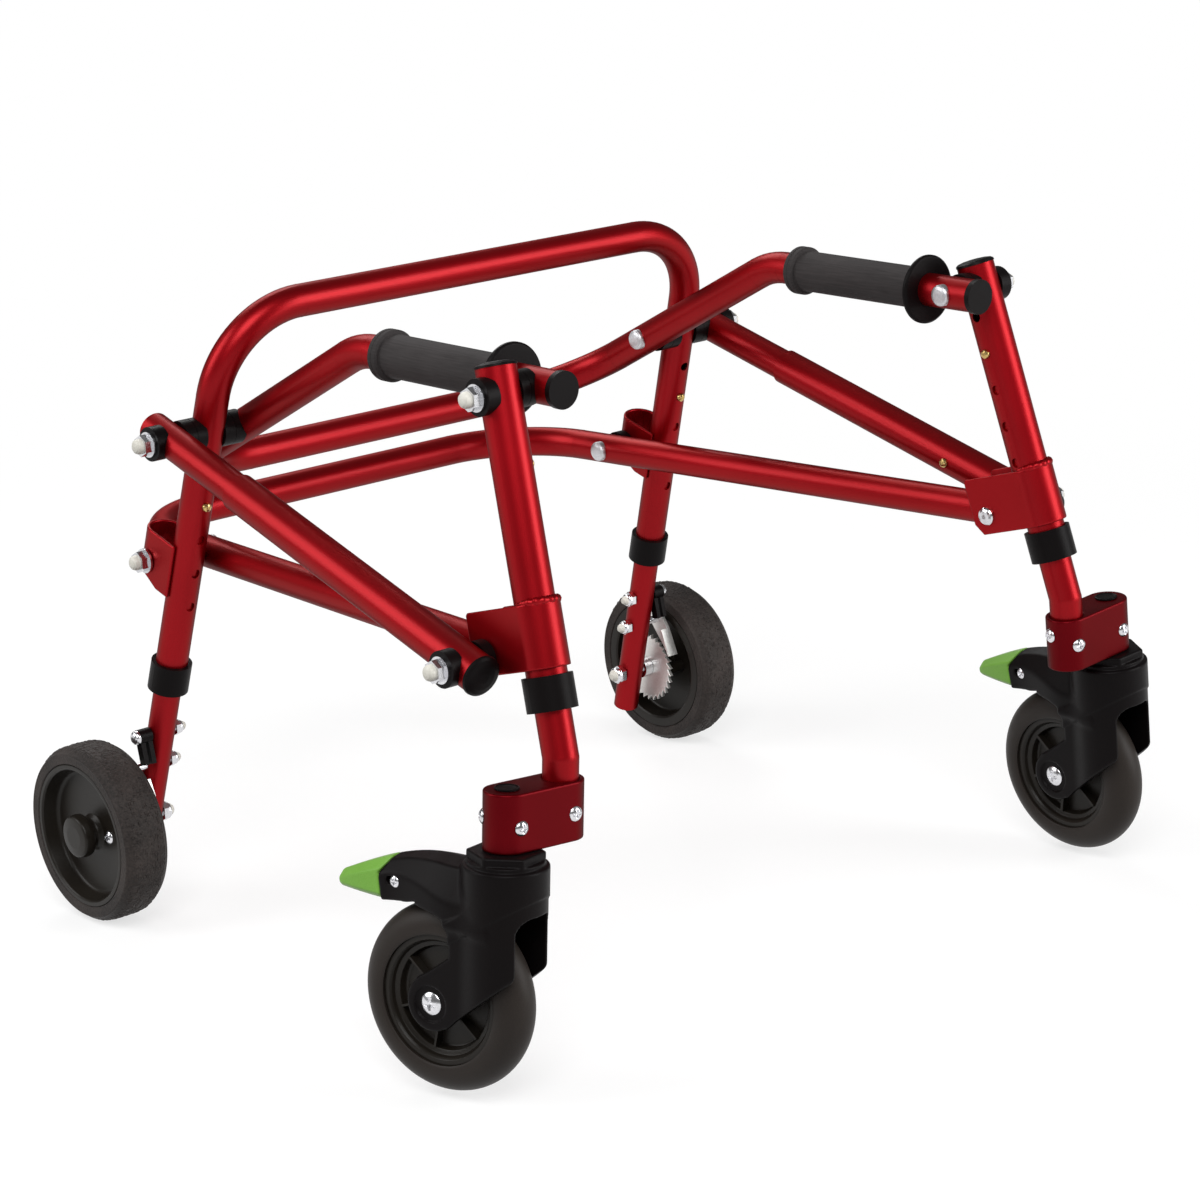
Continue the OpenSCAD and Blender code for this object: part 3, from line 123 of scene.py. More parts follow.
# Front post, with its bracket beside the front lower pivot
post_up, post_out = -joint_along("front_height"), joint_along("front_press")
post_frame = axes(block_frame @ Vector((0, 0, KNEE_UP)), post_out, post_up.cross(post_out), post_up)
PIVOT_D = sum(node_box("brace_bolt_left"), Vector()) / 2
bracket_frame, BRACKET_BACK = beside(post_frame, PIVOT_D)


def caster_frame(side):
    """At the swivel's foot: Z up the swivel axis, Y back along the fork's arm."""
    up, back = joint_along("caster_swivel", side), joint_along("lock_slide", side)
    return axes(joint_at("caster_swivel", side), back.cross(up), back, up)


axle_spot = caster_frame("left").inverted() @ joint_at("caster_spin")
TRAIL, AXLE_DROP = axle_spot.y, -axle_spot.z


def caster_axle(side):
    return caster_frame(side) @ move(0, TRAIL, -AXLE_DROP)


# Meshes
def build(name, verts, faces, material, body, slot, where=None, side="left", sharp=None, replaced=()):
    """One piece from points in a local frame on the left, mirrored for the right side."""
    place = SIDES[side] @ (where or Matrix.Identity(4))
    loops = [f[::-1] for f in faces] if side == "right" else faces
    mesh = bpy.data.meshes.new(name)
    mesh.from_pydata([(place @ Vector(v)) * MM for v in verts], [], loops)
    mesh.validate()
    mesh.materials.append(material)
    mesh.shade_smooth()
    if sharp is not None:
        mesh.set_sharp_from_angle(angle=math.radians(sharp))
    obj = bpy.data.objects.new(name, mesh)
    bpy.context.scene.collection.objects.link(obj)
    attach(obj, body)
    if replaced:
        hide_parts(*replaced)
    return obj


def circle(r, count, z):
    """Points round Z."""
    turns = [2 * math.pi * i / count for i in range(count)]
    return [(r * math.cos(a), r * math.sin(a), z) for a in turns]


def lathe(profile, segments=96, closed=True):
    """Points and faces of (radius, z) turned round Z. A radius of zero is one point."""
    verts, rings = [], []
    for r, z in profile:
        ring = [(0.0, 0.0, z)] if r < TINY else circle(r, segments, z)
        rings.append([len(verts) + i for i in range(len(ring))])
        verts += ring
    faces = []
    for a, b in zip(rings, rings[1:] + rings[:1] if closed else rings[1:]):
        if len(a) == 1 and len(b) == 1:
            continue
        for i in range(segments):
            j = (i + 1) % segments
            quad = [a[i % len(a)], a[j % len(a)], b[j % len(b)], b[i % len(b)]]
            faces.append(list(dict.fromkeys(quad)))
    return verts, faces


CORNER_SHARE = 0.49  # the most of an edge that one rounded corner takes


def rounded(points, steps=5):
    """A closed profile of (r, z, corner radius) with its corners rounded."""
    out = []
    n = len(points)
    for i, (r, z, fillet) in enumerate(points):
        if fillet <= 0:
            out.append((r, z))
            continue
        here = np.array((r, z), float)
        back, on = (np.array(points[(i + k) % n][:2], float) - here for k in (-1, 1))
        back_len, on_len = np.linalg.norm(back), np.linalg.norm(on)
        back, on = back / back_len, on / on_len
        half = math.acos(max(-1, min(1, float(back @ on)))) / 2
        cut = min(fillet / math.tan(half), back_len * CORNER_SHARE, on_len * CORNER_SHARE)
        a, b = here + back * cut, here + on * cut
        for k in range(steps + 1):
            t = k / steps
            p = a * (1 - t) ** 2 + here * 2 * t * (1 - t) + b * t ** 2
            out.append((max(0.0, float(p[0])), float(p[1])))
    return out


def merged(*parts):
    """Points and faces of several meshes, each moved by its matrix, as one."""
    points, faces = [], []
    for some, loops, where in parts:
        faces += [[i + len(points) for i in f] for f in loops]
        points += [tuple(where @ Vector(q)) for q in some]
    return points, faces


def pair(points, faces, where):
    """The left piece and its mirror image as one mesh."""
    left = [where @ Vector(q) for q in points]
    right = [SIDES["right"] @ q for q in left]
    return left + right, faces + [[i + len(left) for i in f[::-1]] for f in faces]


# Surfaces of signed distance fields
CORNERS = [(i, j, k) for i in (0, 1) for j in (0, 1) for k in (0, 1)]
PULLS, PULL_REACH, PROBE = 3, 0.5, 0.05  # rounds that draw points onto the surface; shares of a cell


def drawn_on(points, field, cell):
    """Points moved down the field's slope onto its surface."""
    step = PROBE * cell
    for _ in range(PULLS):
        here = field(points)
        ways = [(field(points + step * e) - field(points - step * e)) / (2 * step) for e in np.eye(3)]
        slope = np.stack(ways, -1)
        shift = slope * (here / np.maximum((slope ** 2).sum(-1), TINY))[:, None]
        length = np.maximum(np.linalg.norm(shift, axis=1), TINY)
        points = points - shift * np.minimum(1, PULL_REACH * cell / length)[:, None]
    return points


def surface(field, low, high, cell):
    """Points and quads of a signed distance field, by surface nets."""
    low, high = np.array(low, float), np.array(high, float)
    count = np.ceil((high - low) / cell).astype(int) + 1
    grid = [low[i] + cell * np.arange(count[i]) for i in range(3)]
    value = field(np.stack(np.meshgrid(*grid, indexing="ij"), -1))
    inside = value < 0

    def part(array, c):
        return array[tuple(slice(s, n - 1 + s) for s, n in zip(c, count))]

    cells = sum(part(inside, c).astype(int) for c in CORNERS)
    active = (cells > 0) & (cells < len(CORNERS))
    index = -np.ones(active.shape, int)
    index[active] = np.arange(active.sum())
    total, hits = np.zeros(active.shape + (3,)), np.zeros(active.shape)
    for a in CORNERS:
        for axis in range(3):
            if a[axis]:
                continue
            b = list(a)
            b[axis] = 1
            va, vb = part(value, a), part(value, b)
            cross = (va < 0) != (vb < 0)
            offset = np.zeros(active.shape + (3,))
            offset[...] = a
            offset[..., axis] = np.where(cross, va / np.where(cross, va - vb, 1), 0)
            total += offset * cross[..., None]
            hits += cross
    points = low + cell * (np.argwhere(active) + total[active] / hits[active][:, None])
    faces = []
    for axis, u, v in ((0, 1, 2), (1, 2, 0), (2, 0, 1)):
        one, two = (np.take(inside, range(s, count[axis] - 1 + s), axis) for s in (0, 1))
        for turned, where in ((False, one & ~two), (True, ~one & two)):
            at = np.argwhere(where)
            clear = (at[:, u] > 0) & (at[:, v] > 0) & (at[:, u] < count[u] - 1) & (at[:, v] < count[v] - 1)
            loop = []
            for du, dv in ((-1, -1), (0, -1), (0, 0), (-1, 0)):
                c = at[clear]
                c[:, u] += du
                c[:, v] += dv
                loop.append(index[tuple(c.T)])
            faces += np.stack(loop[::-1] if turned else loop, -1).tolist()
    return drawn_on(points, field, cell).tolist(), faces


def smooth_min(a, b, k):
    h = np.maximum(k - np.abs(a - b), 0) / k
    return np.minimum(a, b) - h * h * k / 4


def smooth_max(a, b, k):
    return -smooth_min(-a, -b, k)


def corner_field(x, y, radius):
    """Distance past a corner of two faces, rounded."""
    q = np.stack([x + radius, y + radius], -1)
    return np.linalg.norm(np.maximum(q, 0), axis=-1) + np.minimum(q.max(-1), 0) - radius


def rod_field(radial, along, r, low, high, radius):
    """A round bar between two ends, with rounded edges."""
    return corner_field(radial - r, np.abs(along - (low + high) / 2) - (high - low) / 2, radius)


def polygon_field(a, b, points):
    """Signed distance in a plane to a closed polygon."""
    corners = np.array(points, float)
    d = np.full(a.shape, np.inf)
    inside = np.zeros(a.shape, bool)
    for (x0, y0), (x1, y1) in zip(corners, np.roll(corners, -1, 0)):
        ex, ey = x1 - x0, y1 - y0
        t = np.clip(((a - x0) * ex + (b - y0) * ey) / (ex * ex + ey * ey), 0, 1)
        d = np.minimum(d, np.hypot(a - x0 - t * ex, b - y0 - t * ey))
        if ey:
            inside ^= ((y0 > b) != (y1 > b)) & (a < ex * (b - y0) / ey + x0)
    return np.where(inside, -d, d)


# Materials
def linear(*levels):
    """A colour of 0 to 255 levels as Blender's linear colour."""
    shares = [level / 255 for level in levels]
    return (*(c / 12.92 if c <= 0.04045 else ((c + 0.055) / 1.055) ** 2.4 for c in shares), 1.0)


def feed(tree, made, inputs):
    """Set a node's inputs to values, or link them from sockets."""
    for key, value in inputs.items():
        if isinstance(value, bpy.types.NodeSocket):
            tree.links.new(value, made.inputs[key])
        else:
            made.inputs[key].default_value = value


def node(tree, kind, inputs, **settings):
    """A new shader node."""
    made = tree.nodes.new("ShaderNode" + kind)
    for key, value in settings.items():
        setattr(made, key, value)
    feed(tree, made, inputs)
    return made


def maths(tree, operation, *inputs):
    """The result of a Math node."""
    return node(tree, "Math", dict(enumerate(inputs)), operation=operation).outputs[0]


PATCH_DETAIL, GRAIN_DETAIL, GRAIN_SHARE = 4.0, 3.0, 0.45
RAMP_ENDS, ROUGH_ENDS = (0.32, 0.68), (0.25, 0.75)
COAT_ROUGHNESS = 0.3


def material(name, dark, light, roughness, metallic=0.0, coat=0.0, specular=0.5, grain=400.0,
             stretch=(1, 1, 1), bump=0.05, spread=0.06, patch=12.0, bump_size=0.4, edge_shade=(1, 1, 1, 1)):
    """A moulded, coated or plated surface: two-tone patches, fine grain in colour, roughness and bump. An
    edge tint darker than white dims the reflection at grazing angles, as painted shade.
    """
    m = bpy.data.materials.new(name)
    m.use_nodes = True
    tree = m.node_tree
    place = node(tree, "TexCoord", {}).outputs["Object"]
    scaled = node(tree, "Mapping", {"Vector": place, "Scale": stretch}).outputs["Vector"]
    broad = node(tree, "TexNoise", {"Vector": place, "Scale": patch, "Detail": PATCH_DETAIL}).outputs["Fac"]
    fine = node(tree, "TexNoise", {"Vector": scaled, "Scale": grain, "Detail": GRAIN_DETAIL}).outputs["Fac"]
    patches = maths(tree, "MULTIPLY", broad, 1 - GRAIN_SHARE)
    mixed = maths(tree, "MULTIPLY_ADD", fine, GRAIN_SHARE, patches)
    ramp = node(tree, "ValToRGB", {"Fac": mixed})
    for stop, position, colour in zip(ramp.color_ramp.elements, RAMP_ENDS, (linear(*dark), linear(*light))):
        stop.position = position
        stop.color = colour
    rough = node(tree, "MapRange", {"Value": mixed, "From Min": ROUGH_ENDS[0], "From Max": ROUGH_ENDS[1],
                                    "To Min": roughness - spread, "To Max": roughness + spread})
    lump = node(tree, "Bump", {"Strength": bump, "Distance": bump_size * MM, "Height": fine})
    feed(tree, tree.nodes["Principled BSDF"], {
        "Base Color": ramp.outputs["Color"], "Roughness": rough.outputs["Result"],
        "Normal": lump.outputs["Normal"], "Metallic": metallic, "Coat Weight": coat,
        "Coat Roughness": COAT_ROUGHNESS, "Specular Tint": edge_shade, "Specular IOR Level": specular})
    return m


# Dark red edge tint: it dims the red's reflection at grazing angles, painted shade along the edges of the red
# tubes, brackets and blocks.
RED_PAINTED_EDGE_SHADE = (0.12, 0.004, 0.01, 1)
RED = material("red_lacquer", (140, 4, 13), (162, 9, 22), 0.44, metallic=0.88, coat=0.2, grain=2600,
               patch=9, bump_size=0.2, edge_shade=RED_PAINTED_EDGE_SHADE)
DARK_RED = material("dark_red_lacquer", (90, 2, 9), (107, 5, 15), 0.42, metallic=0.72, coat=0.06,
                    grain=2200, bump=0.06, bump_size=0.2, edge_shade=RED_PAINTED_EDGE_SHADE)
BLACK = material("black_moulded", (10, 7, 8), (16, 12, 12), 0.42, specular=0.08, grain=1500, bump=0.22,
                 bump_size=0.3)
RIM = material("rim_moulded", (25, 21, 17), (34, 30, 25), 0.36, specular=0.2, grain=1500, bump=0.2,
               bump_size=0.3)
FOAM = material("grip_foam", (39, 36, 36), (62, 58, 58), 0.72, specular=0.2, grain=900,
                stretch=(1, 0.06, 1), bump=0.5, bump_size=0.5, patch=20)
RUBBER = material("rear_tyre_rubber", (20, 17, 16), (66, 59, 56), 0.6, specular=0.22, grain=620,
                  bump=0.5, bump_size=0.8, patch=25)
SOFT_RUBBER = material("caster_tyre_rubber", (36, 31, 28), (47, 41, 37), 0.48, specular=0.18, grain=1500,
                       bump=0.2, bump_size=0.3)
STEEL = material("zinc_steel", (196, 196, 200), (232, 232, 235), 0.2, metallic=1.0, grain=900, bump=0.08,
                 patch=30, bump_size=0.2)
PLATE = material("stamped_steel", (226, 226, 222), (247, 247, 244), 0.42, metallic=0.7, grain=800, bump=0.1,
                 patch=30, bump_size=0.2)
BRASS = material("gilt_button", (176, 146, 82), (214, 188, 128), 0.26, metallic=1.0, grain=900, bump=0.08,
                 patch=40, bump_size=0.2)
NYLON = material("white_nylon", (214, 211, 200), (236, 233, 224), 0.42, grain=700, bump=0.1)
GREEN = material("green_moulded", (112, 168, 60), (134, 188, 82), 0.4, specular=0.3, grain=1300, bump=0.2,
                 bump_size=0.3)
BOLT = material("bolt_steel", (186, 187, 190), (226, 226, 229), 0.2, metallic=1.0, grain=900, bump=0.1,
                patch=30, bump_size=0.2)
HEADS_REACH, SATIN = 195.0, 0.24


def satin_inside(m, reach, more):
    """Roughen the metal near the middle plane, where the bolts' broad heads are. The nuts stay bright."""
    tree = m.node_tree
    roughness = tree.nodes["Principled BSDF"].inputs["Roughness"]
    place = node(tree, "TexCoord", {}).outputs["Object"]
    across = node(tree, "SeparateXYZ", {0: place}).outputs["X"]
    off = maths(tree, "ABSOLUTE", maths(tree, "SUBTRACT", across, MIDDLE * MM))
    near = maths(tree, "LESS_THAN", off, reach * MM)
    tree.links.new(maths(tree, "MULTIPLY_ADD", near, more, roughness.links[0].from_socket), roughness)


satin_inside(BOLT, HEADS_REACH, SATIN)
FINISH = {
    "rear_hoop": RED, "rear_brackets": RED, "rear_trim": BLACK, "handle_rail": RED, "grips": FOAM,
    "handle_trim": BLACK, "handle_bolts": BOLT, "handle_nut_caps": NYLON, "lower_rail": RED,
    "lower_bolts": BOLT, "lower_nut_caps": NYLON, "lower_spacers": BLACK, "front_posts": RED,
    "front_brackets": RED, "post_trim": BLACK, "bracket_screws": STEEL, "brace_rods": RED,
    "brace_rod_spacers": BLACK, "brace_tube": RED, "brace_trim": BLACK, "brace_bolt": STEEL,
    "brace_nut_cap": NYLON, "brace_button": BRASS, "rear_leg": RED, "rear_leg_bolts": STEEL,
    "rear_button": BRASS, "pawl_lever": BLACK, "pawl": PLATE, "rear_tyre": RUBBER, "rear_rim": RIM,
    "ratchet_disc": PLATE, "front_leg": RED, "offset_block": DARK_RED, "front_button": BRASS,
    "caster_fork": BLACK, "caster_axle": STEEL, "caster_rim": RIM, "caster_tyre": SOFT_RUBBER,
    "swivel_lock": GREEN,
}
for name, obj in nodes.items():
    obj.data.materials.clear()
    obj.data.materials.append(FINISH[name.removesuffix("_right").removesuffix("_left")])

# Screw heads: a low dome with a cross recess, whose sizes are shares of the head's
CROSS_REACH, CROSS_HALF, CROSS_FLOOR, CROSS_RISE = 0.6, 0.15, 0.2, 0.25
HEAD_SINK, HEAD_ROOM, HEAD_EDGE, HEAD_FOOT, HEAD_LIP = 0.6, 0.6, 0.5, 0.2, 0.25
HEAD_CELLS = 22


def head_field(radius, height):
    def field(p):
        x, y, z = np.abs(p[..., 0]), np.abs(p[..., 1]), p[..., 2]
        r = np.hypot(x, y)
        ball = (radius * radius + height * height) / (2 * height)
        d = smooth_max(np.sqrt(r * r + (z - height + ball) ** 2) - ball, r - radius, HEAD_EDGE)
        d = smooth_max(d, -z - HEAD_SINK, HEAD_FOOT)
        bars = [np.maximum(a - radius * CROSS_REACH, b - radius * CROSS_HALF) for a, b in ((x, y), (y, x))]
        recess = np.maximum(np.minimum(*bars), height * CROSS_FLOOR + r * CROSS_RISE - z)
        return smooth_max(d, -recess, HEAD_LIP)
    return field


def head(radius, height, cell):
    """Points and faces of a screw head that stands on z = 0."""
    wide = radius + HEAD_ROOM
    low, high = (-wide, -wide, -2 * HEAD_SINK), (wide, wide, height + HEAD_ROOM)
    return surface(head_field(radius, height), low, high, cell)


def screw(name, where, radius, height, body, side):
    build(name, *head(radius, height, radius / HEAD_CELLS), STEEL, body, "steel", where, side, sharp=40)


# Caster fork, below the swivel's foot: collar, column, two legs behind it, and the arm for the lock
HEX_R, HEX_MID, HEX_HALF = 20.6, -3.3, 3.0
STEP_R, STEP_LOW, STEP_TOP, STEP_EDGE = 23.6, -11.0, -5.6, 0.8
COLUMN_R, COLUMN_TOP = 26.3, -8.6
PLATE_IN, PLATE_OUT = 16.4, 22.35
LEG_TOP, LEG_LEVEL, LEG_FALL = -33.0, 8.0, 0.75
FRONT_Y, FRONT_LOW, HEEL_Y, HEEL_LOW = -40.0, -58.0, 27.5, -67.0
BOSS_R, BOSS_SIDE, BOSS_FALL = 18.2, 11.2, 14.3
LEDGE_TOP, LEDGE_FALL, LEDGE_RUN, LEDGE_DEPTH = -42.0, 0.62, 0.9, 0.8
ARM_FROM, ARM_TAPER, ARM_NARROW = 24.0, 58.0, 9.9
ARM_UNDER = ((0, -46), (27, -46), (40, -42.4), (56, -41), (68, -42), (84, -44.6))
ARM_END = ((-45, 82.6), (-28, 85.2), (-16, 77.4))
ROOF_TOP, ROOF_FROM, ROOF_RUN, ROOF_DROP, ROOF_CURVE = -9.4, 40.0, 39.0, 7.4, 1.8
CREASE_SHARE, ROOF_GENTLE, ROOF_STEEP, STEEP_EASE = 0.56, 0.34, 2.0, 0.6
TUNNEL_TOP, TUNNEL_CORNER, TUNNEL_BACK, WHEEL_ROOM = -37.0, 10.0, 48.0, 61.5
RECESS_R, RECESS_FACE, RECESS_OUT, RECESS_EDGE = 11.2, 20.0, 40.0, 0.5
LOCK_AT, LOCK_Z, SLOT_R, SLOT_LEN, SLOT_FLOOR = 71.5, -30.5, 2.4, 5.0, 8.0
# How softly these forms meet
MEET_HEX, MEET_COLUMN, MEET_LEGS, MEET_BOSS, MEET_OUTLINE = 1.6, 1.8, 3.5, 3.0, 2.6
MEET_CREASE, MEET_CHEEK, MEET_CHIN, MEET_TIP, MEET_END = 1.0, 1.4, 1.8, 0.8, 1.0
MEET_ARM, MEET_ARM_MORE, MEET_ARM_FROM, MEET_ARM_RUN = 2.5, 6.0, -38.0, 8.0
MEET_TOP, MEET_TUNNEL, MEET_RECESS, MEET_SLOT = 0.8, 1.2, 0.7, 0.5


def arm_end(z):
    """Where the arm stops and the green lock starts: furthest back at half height."""
    return np.interp(z, *np.transpose(ARM_END))


def fork_collar(side, y, z, radial):
    """Hexagon and round step on top."""
    hexagon = np.maximum(side * math.cos(math.pi / 6) + np.abs(y) * math.sin(math.pi / 6), np.abs(y)) - HEX_R
    collar = smooth_max(hexagon, np.abs(z - HEX_MID) - HEX_HALF, MEET_HEX)
    return np.minimum(collar, rod_field(radial, z, STEP_R, STEP_LOW, STEP_TOP, STEP_EDGE))


def fork_body(side, y, z, radial):
    """Round column with two legs behind it, cut to the side view, and thinner below a slanting ledge."""
    column = smooth_max(radial - COLUMN_R, z - COLUMN_TOP, MEET_COLUMN)
    roof = (z - LEG_TOP + LEG_FALL * np.maximum(y - LEG_LEVEL, 0)) / math.hypot(1, LEG_FALL)
    legs = np.maximum(np.maximum(side - PLATE_OUT, -y), roof)
    outline = polygon_field(y, z, [
        (FRONT_Y, 0), (FRONT_Y, FRONT_LOW), (TRAIL - BOSS_SIDE, -AXLE_DROP - BOSS_FALL),
        (TRAIL + BOSS_SIDE, -AXLE_DROP + BOSS_FALL), (HEEL_Y, HEEL_LOW), (HEEL_Y, 0)])
    outline = smooth_min(outline, np.hypot(y - TRAIL, z + AXLE_DROP) - BOSS_R, MEET_BOSS)
    body = smooth_max(smooth_min(column, legs, MEET_LEGS), outline, MEET_OUTLINE)
    return body + LEDGE_DEPTH * np.clip((LEDGE_TOP - LEDGE_FALL * y - z) / LEDGE_RUN, 0, 1)


def fork_arm(side, y, z):
    """As wide as the legs at the column, with a two-step roof that droops towards the lock."""
    t = np.clip((y - ARM_FROM) / ARM_TAPER, 0, 1)
    half = PLATE_OUT - ARM_NARROW * t * t * (3 - 2 * t)
    top = ROOF_TOP - ROOF_DROP * (np.maximum(y - ROOF_FROM, 0) / ROOF_RUN) ** ROOF_CURVE
    crease, fall = half * CREASE_SHARE, ROOF_STEEP - STEEP_EASE * t
    gentle = (z - top + ROOF_GENTLE * side) / math.hypot(1, ROOF_GENTLE)
    steep = (z - top + ROOF_GENTLE * crease + fall * (side - crease)) / np.hypot(1, fall)
    arm = smooth_max(smooth_max(gentle, steep, MEET_CREASE), side - half, MEET_CHEEK)
    arm = smooth_max(arm, np.interp(y, *np.transpose(ARM_UNDER)) - z, MEET_CHIN)
    return smooth_max(arm, smooth_max(-y, y - arm_end(z), MEET_TIP), MEET_END)


def fork_field(p):
    side, y, z = np.abs(p[..., 0]), p[..., 1], p[..., 2]
    radial, from_axle = np.hypot(side, y), np.hypot(y - TRAIL, z + AXLE_DROP)
    softer = MEET_ARM + MEET_ARM_MORE * np.clip((MEET_ARM_FROM - z) / MEET_ARM_RUN, 0, 1)
    solid = smooth_min(fork_body(side, y, z, radial), fork_arm(side, y, z), softer)
    solid = smooth_min(fork_collar(side, y, z, radial), solid, MEET_TOP)
    # Tunnel for the wheel, recess at the axle, slot for the lock's screw
    tunnel = np.maximum(corner_field(side - PLATE_IN, z - TUNNEL_TOP, TUNNEL_CORNER), y - TUNNEL_BACK)
    wheel = np.maximum(side - PLATE_IN, from_axle - WHEEL_ROOM)
    solid = smooth_max(solid, -np.minimum(tunnel, wheel), MEET_TUNNEL)
    recess = rod_field(from_axle, side, RECESS_R, RECESS_FACE, RECESS_OUT, RECESS_EDGE)
    solid = smooth_max(solid, -recess, MEET_RECESS)
    reach = np.clip(y, LOCK_AT, LOCK_AT + SLOT_LEN)
    slot = np.maximum(np.hypot(y - reach, z - LOCK_Z) - SLOT_R, SLOT_FLOOR - side)
    return smooth_max(solid, -slot, MEET_SLOT)


# Green lock: a blunt beak that carries the arm's lines on, with bevelled upper and lower edges
BEAK_FROM, BEAK_LEN, BEAK_TIP, TIP_SLANT, TIP_LOW = 78.0, 42.0, 119.0, 0.12, -44.0
BEAK_TOP, BEAK_DROP, BEAK_CURVE, BEAK_LOW, BEAK_LIFT = -17.0, 17.4, 1.15, -44.4, 0.6
BEAK_HALF, BEAK_NARROW, BEAK_TAPER, TAPER_CURVE = 12.2, 2.4, 3.6, 2.4
BROW_SLOPE, BROW_IN, BROW_EASE, CHIN_IN, CHIN_EASE = 1.25, 8.0, 3.0, 3.5, 1.0
BEAK_GAP, BEAK_EDGE, BEAK_ROUND = 0.35, 0.8, 2.2


def beak_field(p):
    x, y, z = np.abs(p[..., 0]), p[..., 1], p[..., 2]
    t = np.clip((y - BEAK_FROM) / BEAK_LEN, 0, 1)
    top = BEAK_TOP - BEAK_DROP * t ** BEAK_CURVE
    low = BEAK_LOW + BEAK_LIFT * t
    half = BEAK_HALF - BEAK_NARROW * t - BEAK_TAPER * t ** TAPER_CURVE
    brow = (x - half + (z - top) * BROW_SLOPE + BROW_IN - BROW_EASE * t) / math.hypot(1, BROW_SLOPE)
    chin = (x - half - z + low + CHIN_IN - CHIN_EASE * t) / math.sqrt(2)
    d = np.maximum(x - half, np.maximum(z - top, low - z))
    d = smooth_max(smooth_max(d, brow, BEAK_EDGE), chin, BEAK_EDGE)
    ends = np.maximum(arm_end(z) + BEAK_GAP - y, y - BEAK_TIP - TIP_SLANT * (z - TIP_LOW))
    return smooth_max(d, ends, BEAK_ROUND)


# Caster forks, locks and axle bolts
FORK_ROOM, FORK_CELL = ((-29, -30, -120), (29, 90, 3)), 1.0
BEAK_ROOM, BEAK_CELL = ((-15, 74, -48), (15, 123, -13)), 0.8
LOCK_SCREW_OUT, LOCK_SCREW_R, LOCK_SCREW_H = 13.0, 3.9, 1.9
AXLE_R, AXLE_HALF, AXLE_HEAD_OUT, AXLE_HEAD_R, AXLE_HEAD_H, AXLE_CELL = 3.9, 20.2, 20.3, 7.4, 2.4, 0.34
fork_mesh = surface(fork_field, *FORK_ROOM, FORK_CELL)
beak_mesh = surface(beak_field, *BEAK_ROOM, BEAK_CELL)
axle_head = head(AXLE_HEAD_R, AXLE_HEAD_H, AXLE_CELL)
shank = lathe(rounded([(0, -AXLE_HALF, 0), (AXLE_R, -AXLE_HALF, 0.3), (AXLE_R, AXLE_HALF, 0.3),
                       (0, AXLE_HALF, 0)], steps=2), segments=32)
axle_mesh = merged((*shank, rot("Y", 90)), *(
    (*axle_head, move(hand * AXLE_HEAD_OUT, 0, 0) @ rot("Y", 90 * hand)) for hand in (-1, 1)))
for side in SIDES:
    here = caster_frame(side)
    build(f"fork_{side}", *fork_mesh, BLACK, f"caster_{side}", "black_plastic", here, side,
          replaced=[f"caster_fork_{side}"])
    build(f"lock_beak_{side}", *beak_mesh, GREEN, f"lock_{side}", "green", here, side,
          replaced=[f"swivel_lock_{side}"])
    for hand, way in ((-1, "in"), (1, "out")):
        screw(f"lock_screw_{side}_{way}",
              here @ move(hand * LOCK_SCREW_OUT, LOCK_AT, LOCK_Z) @ rot("Y", 90 * hand),
              LOCK_SCREW_R, LOCK_SCREW_H, f"lock_{side}", side)
    build(f"caster_bolt_{side}", *axle_mesh, STEEL, f"caster_{side}", "steel", caster_axle(side), side,
          sharp=40, replaced=[f"caster_axle_{side}"])

# Caster tyres, round in section above a groove that the rim fills
CASTER_R, CASTER_TUBE, TUBE_REACH, TUBE_STEP = 59.0, 14.75, 102, 6
SEAT_R, SEAT_HALF, LIP_IN, LIP_DOWN = 40.9, 11.5, 0.6, 0.5
section = [(CASTER_R - CASTER_TUBE + CASTER_TUBE * math.cos(a), CASTER_TUBE * math.sin(a))
           for a in np.radians(np.arange(-TUBE_REACH, TUBE_REACH + 1, TUBE_STEP))]
lip_r, lip_z = section[-1][0] - LIP_IN, section[-1][1] - LIP_DOWN
groove = [(lip_r, lip_z), (SEAT_R, SEAT_HALF), (SEAT_R, -SEAT_HALF), (lip_r, -lip_z)]
tyre_mesh = lathe([*section, *groove], segments=128)

# Caster rims, with spokes on both faces of the web
SPOKES, SPOKE_TURN, SPOKE_FROM, SPOKE_TO = 6, 10, 11.0, 32.2
SPOKE_LOW, SPOKE_HIGH, SPOKE_ROOT, SPOKE_CREST = 2.0, 8.6, 1.0, 0.7
hub_half = [(4.1, 19.9, 0), (12, 19.9, 1), (12, 3.5, 3), (31.4, 2.2, 2), (32.4, 7.6, 1), (35.4, 8.4, 0.8),
            (36.2, 10.6, 0.6), (37.4, 12.2, 0.8), (40.8, 12.4, 0.6)]
BOX_FACES = [[0, 3, 2, 1], [4, 5, 6, 7], [0, 1, 5, 4], [1, 2, 6, 5], [2, 3, 7, 6], [3, 0, 4, 7]]


def spoke(low, high):
    corners = [(x, y * half, z) for half, z in ((SPOKE_ROOT, low), (SPOKE_CREST, high))
               for x, y in ((SPOKE_FROM, -1), (SPOKE_TO, -1), (SPOKE_TO, 1), (SPOKE_FROM, 1))]
    return corners, BOX_FACES


hub = lathe(rounded([(r, -z, f) for r, z, f in hub_half] + hub_half[::-1], steps=3))
rim_mesh = merged((*hub, Matrix.Identity(4)), *(
    (*spoke(*ends), rot("Z", 360 / SPOKES * i + SPOKE_TURN)) for i in range(SPOKES)
    for ends in ((SPOKE_LOW, SPOKE_HIGH), (-SPOKE_HIGH, -SPOKE_LOW))))
for side in SIDES:
    here = caster_axle(side) @ rot("Y", 90)
    build(f"caster_tread_{side}", *tyre_mesh, SOFT_RUBBER, f"caster_wheel_{side}", "tyre", here, side,
          sharp=50, replaced=[f"caster_tyre_{side}"])
    build(f"caster_hub_{side}", *rim_mesh, RIM, f"caster_wheel_{side}", "black_plastic", here, side,
          sharp=35, replaced=[f"caster_rim_{side}"])

